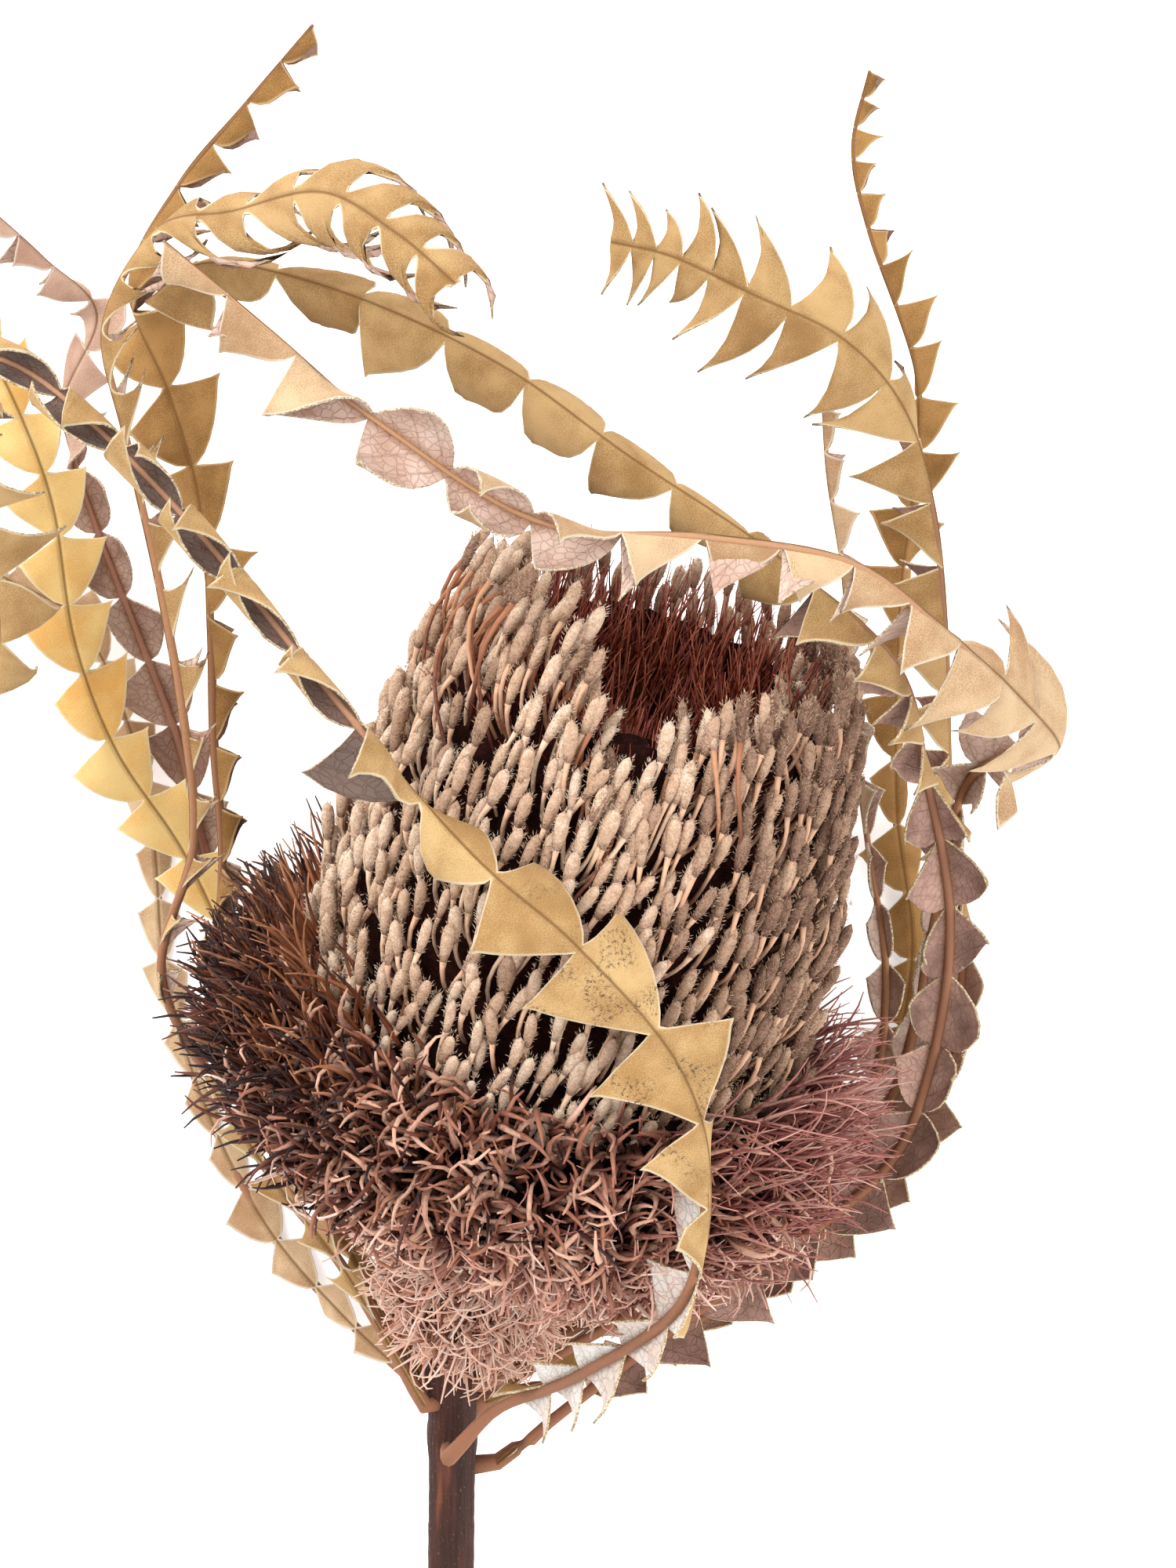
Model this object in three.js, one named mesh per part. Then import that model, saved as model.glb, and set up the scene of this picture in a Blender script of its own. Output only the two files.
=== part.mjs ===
// Dried banksia flower head on its cut stem, with its saw-toothed leaves, lying on its side.
// Units are millimetres, +Z is up, and the surface it lies on is z = 0.
// The stem's cut end points to -Y and the woolly flower head leans up towards +Y.
import * as THREE from 'three';

// ---- driving dimensions ----
const HEAD_BASE = new THREE.Vector3(-6, -84, 32); // where the stem enters the flower head
const HEAD_LEAN = THREE.MathUtils.degToRad(16); // the head's lean from +Y towards +X
const HEAD_RISE = THREE.MathUtils.degToRad(22); // the head's rise from the surface
const STEM_END = new THREE.Vector3(-7, -154, 4);
const STEM_RADIUS = 4.3;
const STEM_TOP = 20; // how far the stem reaches into the head, along its axis
const SOCKET_RADIUS = 5; // bore in the spent florets that the stem fills
const TOUCH_GAP = 0.3; // between pieces that meet
const COLLAR_SPREAD = 1.05; // the collar is wider along the surface than it is high
const BARREL_SIDES = 40;
const BARREL_START = 62; // along the axis from HEAD_BASE, like the heights below
const CRATER_FLOOR = 126;
const LEAF_THICKNESS = 1;
const PETIOLE_SHARE = 0.06; // share of a leaf's length below its first lobe
const SINUS_SHARE = 0.14; // half width between two lobes, as a share of a lobe's
const LOBE_TIP = 0.72; // where the tip stands in its lobe, from 0 at the base side
const GREATEST_FOLD = 60; // degrees: a blade folded further would pass through itself

const OLIVE_FELT = { color: 0xc9b07a, roughness: 0.9, metalness: 0 };
const GREY_FELT = { color: 0xa58c82, roughness: 0.9, metalness: 0 };
const GOLDEN_FELT = { color: 0xe0c070, roughness: 0.9, metalness: 0 };

// Each leaf has its finish and a course from base to tip.
// A course row is x, y, z, then the direction its upper side faces, then two angles in degrees:
// how far each half folds away from the upper side, and how far its lobes curl beyond that.
// Last come the half width of its lobes and how far apart they stand.
const LEAVES = {
  leaf_front: {
    felt: OLIVE_FELT,
    course: [
      [-6, -103, 31, 0, 0, -1, 5, 10, 6, 12],
      [3, -93, 40, 0, 0.2, -1, 10, 20, 8, 13],
      [18, -84, 67, 0, 0.3, -1, 10, 25, 10, 14],
      [36, -69, 94, 0.6, 0.2, -0.7, 20, 20, 10, 15],
      [40, -47, 109, 1, 0, 0.5, 30, 10, 10, 17],
      [34, -27, 115, 0.15, 0.1, 1, 5, 10, 13.5, 20],
      [17, -7, 123, 0.1, 0.1, 1, 4, 10, 13, 20],
      [0, 8, 126, 0.2, 0.2, 1, 14, 25, 11, 18],
      [-22, 33, 120, 0.2, 0.2, -1, 35, 105, 14, 17],
      [-50, 66, 112, 0, 0, -1, 35, 110, 14, 16],
      [-76, 90, 104, 0, 0, -1, 30, 105, 13, 15],
      [-90, 91, 92, -0.5, 0.3, -0.6, 20, 80, 11, 15],
      [-90, 70, 76, -0.7, 0, 0.7, 25, 60, 12, 14],
      [-86, 51, 63, -0.3, 0, 0.9, 20, 60, 12, 14],
      [-88, 36, 52, -0.3, 0, 0.9, 20, 60, 9, 12],
    ],
  },
  leaf_arc: {
    felt: OLIVE_FELT,
    course: [
      [2, -106, 22, 0, 0, 1, 0, 0, 3, 10],
      [15, -95, 25, 0, 0.3, -1, 10, 20, 6, 12],
      [43, -74, 27, 0, 0.3, -1, 15, 20, 9, 14],
      [72, -53, 29, 0.1, -0.2, -1, 15, 20, 10, 15],
      [81, -34, 36, 0, -0.2, -1, 15, 30, 10, 15],
      [84, -6, 54, 0, 0, -1, 10, 30, 11, 16],
      [79, 20, 75, 0.2, 0, -1, 30, 40, 9, 14],
      [72, 41, 103, 0.7, 0.7, -0.4, 50, 60, 9, 14],
      [51, 59, 108, 0.2, 0.4, 0.8, 35, 60, 12, 15],
      [26, 76, 105, 0.1, 0.3, 1, 30, 70, 14, 16],
      [4, 92, 99, 0, 0.3, 1, 30, 65, 15.5, 17],
      [-23, 105, 91, 0, 0.2, 1, 30, 65, 15.5, 17],
      [-47, 111, 83, 0, 0.3, 1, 35, 70, 13, 15],
      [-59, 105, 75, -0.5, 0.7, 0.3, 60, 30, 9, 12],
    ],
  },
  leaf_crown: {
    felt: OLIVE_FELT,
    course: [
      [0, -90, 33, 0, 0, 1, 0, 0, 3, 10],
      [26, -78, 26, 0, 0.3, -1, 10, 20, 5, 12],
      [56, -62, 21, 0, 0, -1, 10, 20, 7, 14],
      [75, -38, 26, 0, 0, -1, 22, 25, 9, 15],
      [81, -6, 44, -0.3, 0, -1, 40, 30, 9, 14],
      [86, 18, 58, 0.2, 0, -1, 35, 30, 8, 12],
      [92, 25, 72, 0, 0.2, -1, 10, 20, 14, 12],
      [101, 26, 86, 0.6, -0.6, -0.5, 10, 20, 14, 12],
      [93, 35, 100, 0.4, 0.3, 1, 0, 40, 14, 12],
      [79, 47, 112, 0.7, 0.7, 0.2, 40, 50, 10, 12],
      [63, 58, 118, 0.5, 0.8, -0.1, 60, 50, 9, 13],
      [39, 62, 122, 0.1, 1, 0.2, 70, 40, 9, 14],
      [11, 64, 124, 0.2, 0.3, -1, 25, 75, 13, 16],
      [-14, 79, 128, 0.3, 0.2, -1, 20, 75, 13, 16],
      [-33, 95, 131, 0.3, 0.5, 0.8, 60, 40, 10, 15],
      [-51, 110, 134, 0.5, 0.6, 0.5, 60, 60, 8, 12],
    ],
  },
  leaf_fern: {
    felt: OLIVE_FELT,
    course: [
      [0, -94, 27, 0, 0, 1, 0, 0, 3, 10],
      [32, -84, 14, 0, 0.2, -1, 10, 20, 5, 12],
      [68, -60, 9, 0, 0, -1, 10, 20, 8, 14],
      [85, -34, 12, 0, 0, -1, 35, 30, 9, 14],
      [89, -9, 19, 0.2, 0, -1, 40, 30, 9, 14],
      [86, 20, 32, 1, 0, -0.3, 40, 20, 8, 13],
      [84, 48, 50, 1, 0, 0.3, 50, 20, 8, 13],
      [81, 70, 60, 0.9, 0.1, 0.5, 50, 20, 9, 12],
      [75, 87, 66, 0.4, 0.3, 1, 20, 40, 13, 12],
      [64, 99, 68, 0.1, 0.1, 1, 5, 30, 14, 10.5],
      [48, 107, 66, 0, 0, 1, 0, 20, 14, 7.5],
      [34, 114, 62, 0, 0, 1, 0, 10, 11.5, 5],
      [23, 117, 58, 0, 0, 1, 0, 5, 9, 4],
    ],
  },
  leaf_spire: {
    felt: OLIVE_FELT,
    course: [
      [-3, -97, 20, 0, 0, 1, 0, 0, 3, 10],
      [11, -88, 8.6, 0, 0, 1, 0, 0, 5, 12],
      [42, -68, 1.6, 0, 0, 1, 5, 0, 6, 12],
      [71, -44, 2.6, 0, 0, 1, 8, 5, 7, 13],
      [80, -14, 3.6, 0, 0, 1, 15, 10, 7, 13],
      [77, 16, 7.6, 0.2, 0, 1, 18, 18, 7, 13],
      [77, 52, 18, 0.5, 0, 1, 30, 20, 7, 12],
      [79, 75, 26, 0, 0, 1, 0, 10, 7, 11],
      [79, 95, 32, -0.7, 0, 0.7, 40, 10, 6, 9],
      [70, 121, 36, -1, 0, 0.3, 60, 20, 5, 7],
      [67, 136, 38, -1, 0, 0.3, 60, 20, 4.5, 6],
      [70, 150, 40, -0.9, 0, 0.5, 60, 20, 3.5, 5],
    ],
  },
  leaf_edge: {
    felt: OLIVE_FELT,
    course: [
      [0, -92, 22, 0, 0, 1, 0, 0, 3, 10],
      [19, -79, 20, 0, 0.2, -1, 10, 20, 4, 12],
      [53, -62, 16, 0, 0, -1, 10, 20, 6, 12],
      [70, -42, 18, 0, 0, -1, 20, 20, 6, 12],
      [74, -18, 26, 0, 0, -1, 30, 20, 6, 12],
      [70, 9, 33, -0.4, 0, -1, 55, 20, 5, 12],
      [66, 34, 40, -1, 0, -0.3, 50, 20, 5, 11],
      [65, 56, 46, -1, 0, 0, 40, 20, 4, 10],
      [62, 75, 50, -1, 0, 0, 40, 20, 4, 9],
      [61, 88, 52, -1, 0, 0, 40, 20, 3, 8],
    ],
  },
  leaf_outer: {
    felt: OLIVE_FELT,
    course: [
      [-10, -94, 21, 0, 0, 1, 0, 0, 2, 10],
      [-27, -80, 7.3, 0, 0, 1, 5, 5, 4, 12],
      [-42, -63, 2.3, 0, 0, 1, 10, 5, 6, 12],
      [-54, -39, 2.3, 0, 0, 1, 13, 5, 4, 12],
      [-61, -14, 2.3, 0, 0, 1, 14, 5, 5, 12],
      [-63, 10, 3.3, 0, 0, 1, 15, 10, 5, 12],
      [-67, 30, 7, 0, 0, 1, 15, 10, 6, 12],
      [-76, 50, 10, 0, 0.2, 1, 10, 10, 9, 13],
      [-89, 58, 14, 0, 0.3, 1, 10, 20, 10, 13],
      [-100, 64, 18, 0, 0.3, 1, 10, 20, 10, 13],
    ],
  },
  leaf_golden: {
    felt: GOLDEN_FELT,
    course: [
      [-12, -89, 27, 0, 0, 1, 0, 0, 2, 10],
      [-23, -69, 16, 0, 0, 1, 0, 0, 4, 12],
      [-36, -46, 9, 0, 0, 1, 0, 0, 5, 12],
      [-46, -16, 14, 0, 0, 1, 0, 0, 6, 13],
      [-56, 7, 19, 0, 0, 1, 0, 5, 8, 14],
      [-68, 26, 26, 0, 0, 1, 0, 5, 8.5, 14],
      [-75, 46, 34, 0, 0, 1, 0, 5, 8.5, 14],
      [-78, 70, 44, 0, 0, 1, 0, 5, 8.5, 13],
      [-83, 86, 52, 0, 0, 1, 5, 10, 8, 12],
      [-90, 101, 58, 0, 0, 1, 10, 20, 7, 11],
      [-97, 114, 62, 0, 0, 1, 10, 20, 7, 11],
    ],
  },
  leaf_tall: {
    felt: OLIVE_FELT,
    course: [
      [-13, -91, 31, 0, 0, 1, 0, 0, 2, 10],
      [-24, -68, 24, 0, 0, 1, 0, 0, 4, 12],
      [-39, -45, 13, 0, 0, 1, 0, 0, 5, 12],
      [-49, -16, 20, -0.3, 0, -1, 15, 0, 5, 12],
      [-49, 9, 32, -1, 0, -0.3, 50, 10, 5, 12],
      [-50, 28, 40, -1, 0, 0, 60, 20, 5, 12],
      [-50, 48, 47, -1, 0, 0.4, 50, 20, 6, 13],
      [-51, 71, 52, -0.2, 0, 1, 0, 10, 10, 15],
      [-56, 90, 58, 0, 0, 1, 0, 10, 11, 15],
      [-63, 109, 62, -0.6, 0.6, -0.3, 30, 40, 9, 13],
      [-54, 127, 64, -0.7, 0.6, 0.2, 60, 20, 6.5, 10],
      [-42, 141, 66, -0.7, 0.6, 0.3, 60, 20, 6, 9.5],
      [-30, 155, 66, -0.7, 0.6, 0.3, 60, 20, 4, 8],
    ],
  },
  leaf_curled: {
    felt: OLIVE_FELT,
    course: [
      [-11, -94, 34, 0, 0, 1, 0, 0, 2, 10],
      [-26, -69, 31, 0, 0, 1, 0, 0, 4, 12],
      [-42, -49, 24, 0, 0, 1, 0, 0, 5, 12],
      [-59, -17, 39, -0.7, 0, -1, 45, 10, 5, 12],
      [-53, 9, 51, -1, 0, -0.3, 60, 20, 5, 12],
      [-54, 31, 60, -1, 0, 0, 70, 20, 6, 13],
      [-58, 56, 66, -1, 0, 0.3, 60, 20, 6, 13],
      [-63, 81, 74, -0.8, 0.2, 0.5, 40, 30, 7, 12],
      [-66, 100, 82, -0.8, 0.4, 0.3, 30, 60, 8, 11],
      [-56, 116, 91, -0.5, 0.7, 0.5, 5, 170, 13, 11],
      [-42, 118, 102, -0.6, 0.4, 0.7, 0, 190, 15, 11],
      [-26, 120, 114, -0.6, 0.3, 0.8, 0, 190, 16, 11],
      [-13, 112, 125, -0.4, 0.5, 0.7, 0, 190, 16, 10],
      [-3, 103, 132, -0.3, 0.5, 0.7, 0, 180, 13, 9],
    ],
  },
  leaf_pale: {
    felt: GREY_FELT,
    course: [
      [-11, -91, 23, 0, 0, 1, 0, 0, 2, 10],
      [-23, -69, 11, 0, 0, 1, 0, 0, 4, 12],
      [-36, -46, 7, 0, 0, -1, 0, 0, 5, 12],
      [-46, -16, 9, 0, 0, -1, 0, 0, 6, 12],
      [-53, 9, 11, 0, 0, -1, 5, 10, 7, 13],
      [-58, 29, 13, -0.2, 0.2, -1, 10, 10, 8, 13],
      [-65, 48, 16, -0.2, 0.2, -1, 10, 20, 8, 13],
      [-73, 70, 20, 0, 0.2, -1, 20, 20, 8, 13],
      [-78, 89, 27, -0.5, 0.5, 0.8, 20, 20, 7, 12],
      [-71, 106, 34, 0, 0.5, 0.8, 20, 20, 7, 10],
      [-80, 116, 40, 0.2, 0.8, 0.4, 50, 20, 6, 9],
      [-90, 125, 46, 0.2, 0.8, 0.4, 50, 20, 5, 8],
    ],
  },
};

// The direction of the flower head's axis, from the stem to the crown.
const headAxis = new THREE.Vector3(
  Math.sin(HEAD_LEAN) * Math.cos(HEAD_RISE),
  Math.cos(HEAD_LEAN) * Math.cos(HEAD_RISE),
  Math.sin(HEAD_RISE),
);

// Adds one named mesh to the object.
function addPiece(group, name, geometry, finish) {
  const mesh = new THREE.Mesh(geometry, new THREE.MeshStandardMaterial(finish));
  mesh.name = name;
  group.add(mesh);
  return mesh;
}

// A solid of revolution about the head's axis, from [height, radius] rows, widened sideways.
function headLathe(profile, spread = 1) {
  const outline = profile.map(([height, radius]) => new THREE.Vector2(radius, height));
  const geometry = new THREE.LatheGeometry(outline, BARREL_SIDES);
  const sideways = new THREE.Vector3(headAxis.y, -headAxis.x, 0).normalize();
  const upright = new THREE.Vector3().crossVectors(sideways, headAxis);
  geometry.scale(spread, 1, 1);
  geometry.applyMatrix4(new THREE.Matrix4().makeBasis(sideways, headAxis, upright));
  geometry.translate(HEAD_BASE.x, HEAD_BASE.y, HEAD_BASE.z);
  return geometry;
}

// The woody stem, from its cut end to its seat in the flower head.
function stemGeometry() {
  const top = HEAD_BASE.clone().addScaledVector(headAxis, STEM_TOP - TOUCH_GAP);
  const middle = STEM_END.clone().lerp(HEAD_BASE, 0.5);
  const route = new THREE.CatmullRomCurve3([STEM_END, middle, HEAD_BASE, top]);
  const section = new THREE.Shape().absarc(0, 0, STEM_RADIUS, 0, 2 * Math.PI);
  return new THREE.ExtrudeGeometry(section, { extrudePath: route, steps: 10, curveSegments: 7 });
}

// The barrel of open florets, with the hollow crown at its end.
function barrelProfile() {
  return [
    [BARREL_START, 0],
    [BARREL_START, 43],
    [76, 46],
    [90, 46.5],
    [104, 45.5],
    [118, 43],
    [132, 40],
    [142, 36],
    [147, 31],
    [146, 27],
    [136, 21],
    [CRATER_FLOOR, 14],
    [CRATER_FLOOR, 0],
  ];
}

// The fine dark styles that stand in the hollow crown.
function crownProfile() {
  return [
    [CRATER_FLOOR + TOUCH_GAP, 0],
    [CRATER_FLOOR + TOUCH_GAP, 13.5],
    [136, 20],
    [145, 25.5],
    [147, 20],
    [140, 10],
    [138, 0],
  ];
}

// The tangled collar of spent florets, which hangs down round the top of the stem.
function collarProfile() {
  return [
    [STEM_TOP, 0],
    [STEM_TOP, SOCKET_RADIUS],
    [2, SOCKET_RADIUS],
    [4, 8],
    [15, 14],
    [25, 20],
    [31, 27],
    [36, 40],
    [46, 52],
    [56, 54.5],
    [66, 52],
    [76, 47.5],
    [76, 46.5],
    [BARREL_START - TOUCH_GAP, 43.5],
    [BARREL_START - TOUCH_GAP, 0],
  ];
}

// Shares of a leaf's length, and whether each is a lobe's tip or the sinus between two.
function leafStations(route, sizing) {
  const length = route.getLength();
  const starts = [PETIOLE_SHARE * length];
  while (starts[starts.length - 1] < length) {
    const start = starts[starts.length - 1];
    starts.push(start + sizing.getPoint(route.getUtoTmapping(start / length)).y);
  }
  const stretch = (length - starts[0]) / (starts[starts.length - 1] - starts[0]);
  const shares = starts.map((start) => (starts[0] + (start - starts[0]) * stretch) / length);
  const stations = [{ share: 0, tip: false }];
  for (let lobe = 0; lobe + 1 < shares.length; lobe += 1) {
    stations.push({ share: shares[lobe], tip: false });
    stations.push({ share: shares[lobe] + LOBE_TIP * (shares[lobe + 1] - shares[lobe]), tip: true });
  }
  stations.push({ share: 1, tip: false });
  return stations;
}

// A folded, saw-toothed blade along its course: at each station the section has a left edge,
// a midrib and a right edge, above and below.
function leafGeometry({ course }) {
  const curveOf = (columns) => {
    const points = course.map((row) => new THREE.Vector3(...columns.map((c) => row[c])));
    return new THREE.CatmullRomCurve3(points, false, 'catmullrom', 0.5);
  };
  const route = curveOf([0, 1, 2]);
  const facing = curveOf([3, 4, 5]);
  const folding = curveOf([6, 7, 7]);
  const sizing = curveOf([8, 9, 9]);
  const positions = [];
  const stations = leafStations(route, sizing);
  for (const { share, tip } of stations) {
    const t = route.getUtoTmapping(share);
    const centre = route.getPoint(t);
    const along = route.getTangent(t);
    const face = facing.getPoint(t);
    face.addScaledVector(along, -face.dot(along)).normalize();
    const side = new THREE.Vector3().crossVectors(along, face);
    const bend = folding.getPoint(t);
    const angle = THREE.MathUtils.degToRad(Math.min(bend.x + bend.y / 2, GREATEST_FOLD));
    const half = sizing.getPoint(t).x * (tip ? 1 : SINUS_SHARE);
    const across = Math.max(half * Math.cos(angle), LEAF_THICKNESS);
    const down = half * Math.sin(angle);
    for (const level of [0.5, -0.5]) {
      for (const hand of [-1, 0, 1]) {
        const point = centre.clone().addScaledVector(side, hand * across);
        point.addScaledVector(face, level * LEAF_THICKNESS - Math.abs(hand) * down);
        positions.push(point.x, point.y, point.z);
      }
    }
  }
  const ring = [0, 1, 2, 5, 4, 3]; // round the section: top left, middle, right, bottom right...
  const index = [];
  for (let s = 0; s + 1 < stations.length; s += 1) {
    for (let k = 0; k < ring.length; k += 1) {
      const a = s * 6 + ring[k];
      const b = s * 6 + ring[(k + 1) % 6];
      index.push(a, b, b + 6, a, b + 6, a + 6);
    }
  }
  for (const [first, flip] of [[0, true], [(stations.length - 1) * 6, false]]) {
    for (const quad of [[0, 1, 4, 3], [1, 2, 5, 4]]) {
      const [a, b, c, d] = quad.map((corner) => first + corner);
      index.push(...(flip ? [a, d, c, a, c, b] : [a, b, c, a, c, d]));
    }
  }
  const geometry = new THREE.BufferGeometry();
  geometry.setAttribute('position', new THREE.Float32BufferAttribute(positions, 3));
  geometry.setIndex(index);
  return geometry;
}

const group = new THREE.Group();
addPiece(group, 'stem', stemGeometry(), { color: 0x5a3a2a, roughness: 0.8, metalness: 0 });
addPiece(group, 'floret_barrel', headLathe(barrelProfile()), { color: 0xb39a80, roughness: 1, metalness: 0 });
addPiece(group, 'crown_styles', headLathe(crownProfile()), { color: 0x6b2f22, roughness: 0.7, metalness: 0 });
addPiece(group, 'spent_florets', headLathe(collarProfile(), COLLAR_SPREAD), {
  color: 0x5a3630, roughness: 0.95, metalness: 0,
});
for (const [name, leaf] of Object.entries(LEAVES)) {
  addPiece(group, name, leafGeometry(leaf), leaf.felt);
}

export default group;
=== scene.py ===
"""Dried banksia flower head on its cut stem, lying on its side among its saw-toothed leaves."""

import logging
from dataclasses import dataclass, field
from enum import Enum
from typing import Optional, Sequence, Union

import bmesh
import bpy
import numpy as np
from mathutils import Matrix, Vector


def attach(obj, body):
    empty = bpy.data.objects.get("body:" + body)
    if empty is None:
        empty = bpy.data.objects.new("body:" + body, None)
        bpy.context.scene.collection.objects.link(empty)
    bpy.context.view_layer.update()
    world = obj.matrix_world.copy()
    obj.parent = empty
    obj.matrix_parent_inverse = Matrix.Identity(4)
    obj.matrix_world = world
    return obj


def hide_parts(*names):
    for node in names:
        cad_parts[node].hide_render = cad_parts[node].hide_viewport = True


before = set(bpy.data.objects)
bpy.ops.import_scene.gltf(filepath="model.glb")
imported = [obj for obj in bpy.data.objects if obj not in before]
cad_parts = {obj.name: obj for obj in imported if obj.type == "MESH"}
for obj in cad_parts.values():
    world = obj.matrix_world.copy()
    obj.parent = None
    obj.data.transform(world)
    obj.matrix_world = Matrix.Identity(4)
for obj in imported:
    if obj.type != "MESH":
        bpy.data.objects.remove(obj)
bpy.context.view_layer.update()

LOG = logging.getLogger("banksia")

MM = 0.001
BODY = "root"

# The head's axis, as the frame's solids have it. Lengths in this file are in millimetres.
HEAD_BASE = np.array([-6.0, -84.0, 32.0])
HEAD_LEAN = np.radians(16.0)
HEAD_RISE = np.radians(22.0)
STEM_END = np.array([-7.0, -154.0, 4.2])
STEM_RADIUS = 4.3
SURFACE_CLEARANCE = 0.25
LIGHT_LEVEL = 1.4  # how brightly the studio lights a surface that faces up

Number = Union[float, "Wire"]
Row = Sequence[float]


def linear(code: str) -> tuple[float, float, float, float]:
    """Turns a hex colour, as it looks under the studio's light, into a shader's linear colour.

    Args:
        code: six hex digits.

    Returns:
        The linear red, green, blue and an alpha of 1.
    """
    shares = [int(code[k : k + 2], 16) / 255 for k in (0, 2, 4)]
    values = [c / 12.92 if c <= 0.04045 else ((c + 0.055) / 1.055) ** 2.4 for c in shares]
    red, green, blue = (value / LIGHT_LEVEL for value in values)
    return (red, green, blue, 1.0)


def smooth(x: np.ndarray) -> np.ndarray:
    """Eases a value from 0 to 1, flat at both ends.

    Args:
        x: values, clipped to 0 to 1.

    Returns:
        The eased values.
    """
    x = np.clip(x, 0.0, 1.0)
    return x * x * (3.0 - 2.0 * x)


def unit(v: np.ndarray) -> np.ndarray:
    """Scales vectors along the last axis to length 1."""
    return v / np.maximum(np.linalg.norm(v, axis=-1, keepdims=True), 1e-9)


# ---------------------------------------------------------------------------------------
# Shader maths and materials
# ---------------------------------------------------------------------------------------


class Wire:
    """A shader socket that adds Math nodes when an expression uses it."""

    def __init__(self, paint: "Paint", socket: bpy.types.NodeSocket) -> None:
        """Keeps the socket and the material it belongs to."""
        self.paint = paint
        self.socket = socket

    def math(self, operation: str, *values: Number) -> "Wire":
        """Adds one Math node.

        Args:
            operation: the node's operation.
            values: its inputs in order.

        Returns:
            The node's result.
        """
        return self.paint.node("ShaderNodeMath", {"operation": operation}, dict(enumerate(values)))

    def __add__(self, other: Number) -> "Wire":
        """Sum."""
        return self.math("ADD", self, other)

    __radd__ = __add__

    def __mul__(self, other: Number) -> "Wire":
        """Product."""
        return self.math("MULTIPLY", self, other)

    __rmul__ = __mul__

    def __sub__(self, other: Number) -> "Wire":
        """Difference."""
        return self.math("SUBTRACT", self, other)

    def __rsub__(self, other: Number) -> "Wire":
        """Difference, the other way round."""
        return self.math("SUBTRACT", other, self)

    def __truediv__(self, other: Number) -> "Wire":
        """Quotient."""
        return self.math("DIVIDE", self, other)

    def __pow__(self, other: Number) -> "Wire":
        """Power."""
        return self.math("POWER", self, other)

    def __abs__(self) -> "Wire":
        """Absolute value."""
        return self.math("ABSOLUTE", self)

    def sine(self) -> "Wire":
        """Sine."""
        return self.math("SINE", self)

    def rise(self, low: float, high: float) -> "Wire":
        """Ramps smoothly from 0 at low to 1 at high.

        Args:
            low: where the result is 0.
            high: where the result is 1.

        Returns:
            The ramp's value.
        """
        sockets = {"Value": self, "From Min": low, "From Max": high}
        return self.paint.node("ShaderNodeMapRange", {"interpolation_type": "SMOOTHSTEP"}, sockets)


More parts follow.
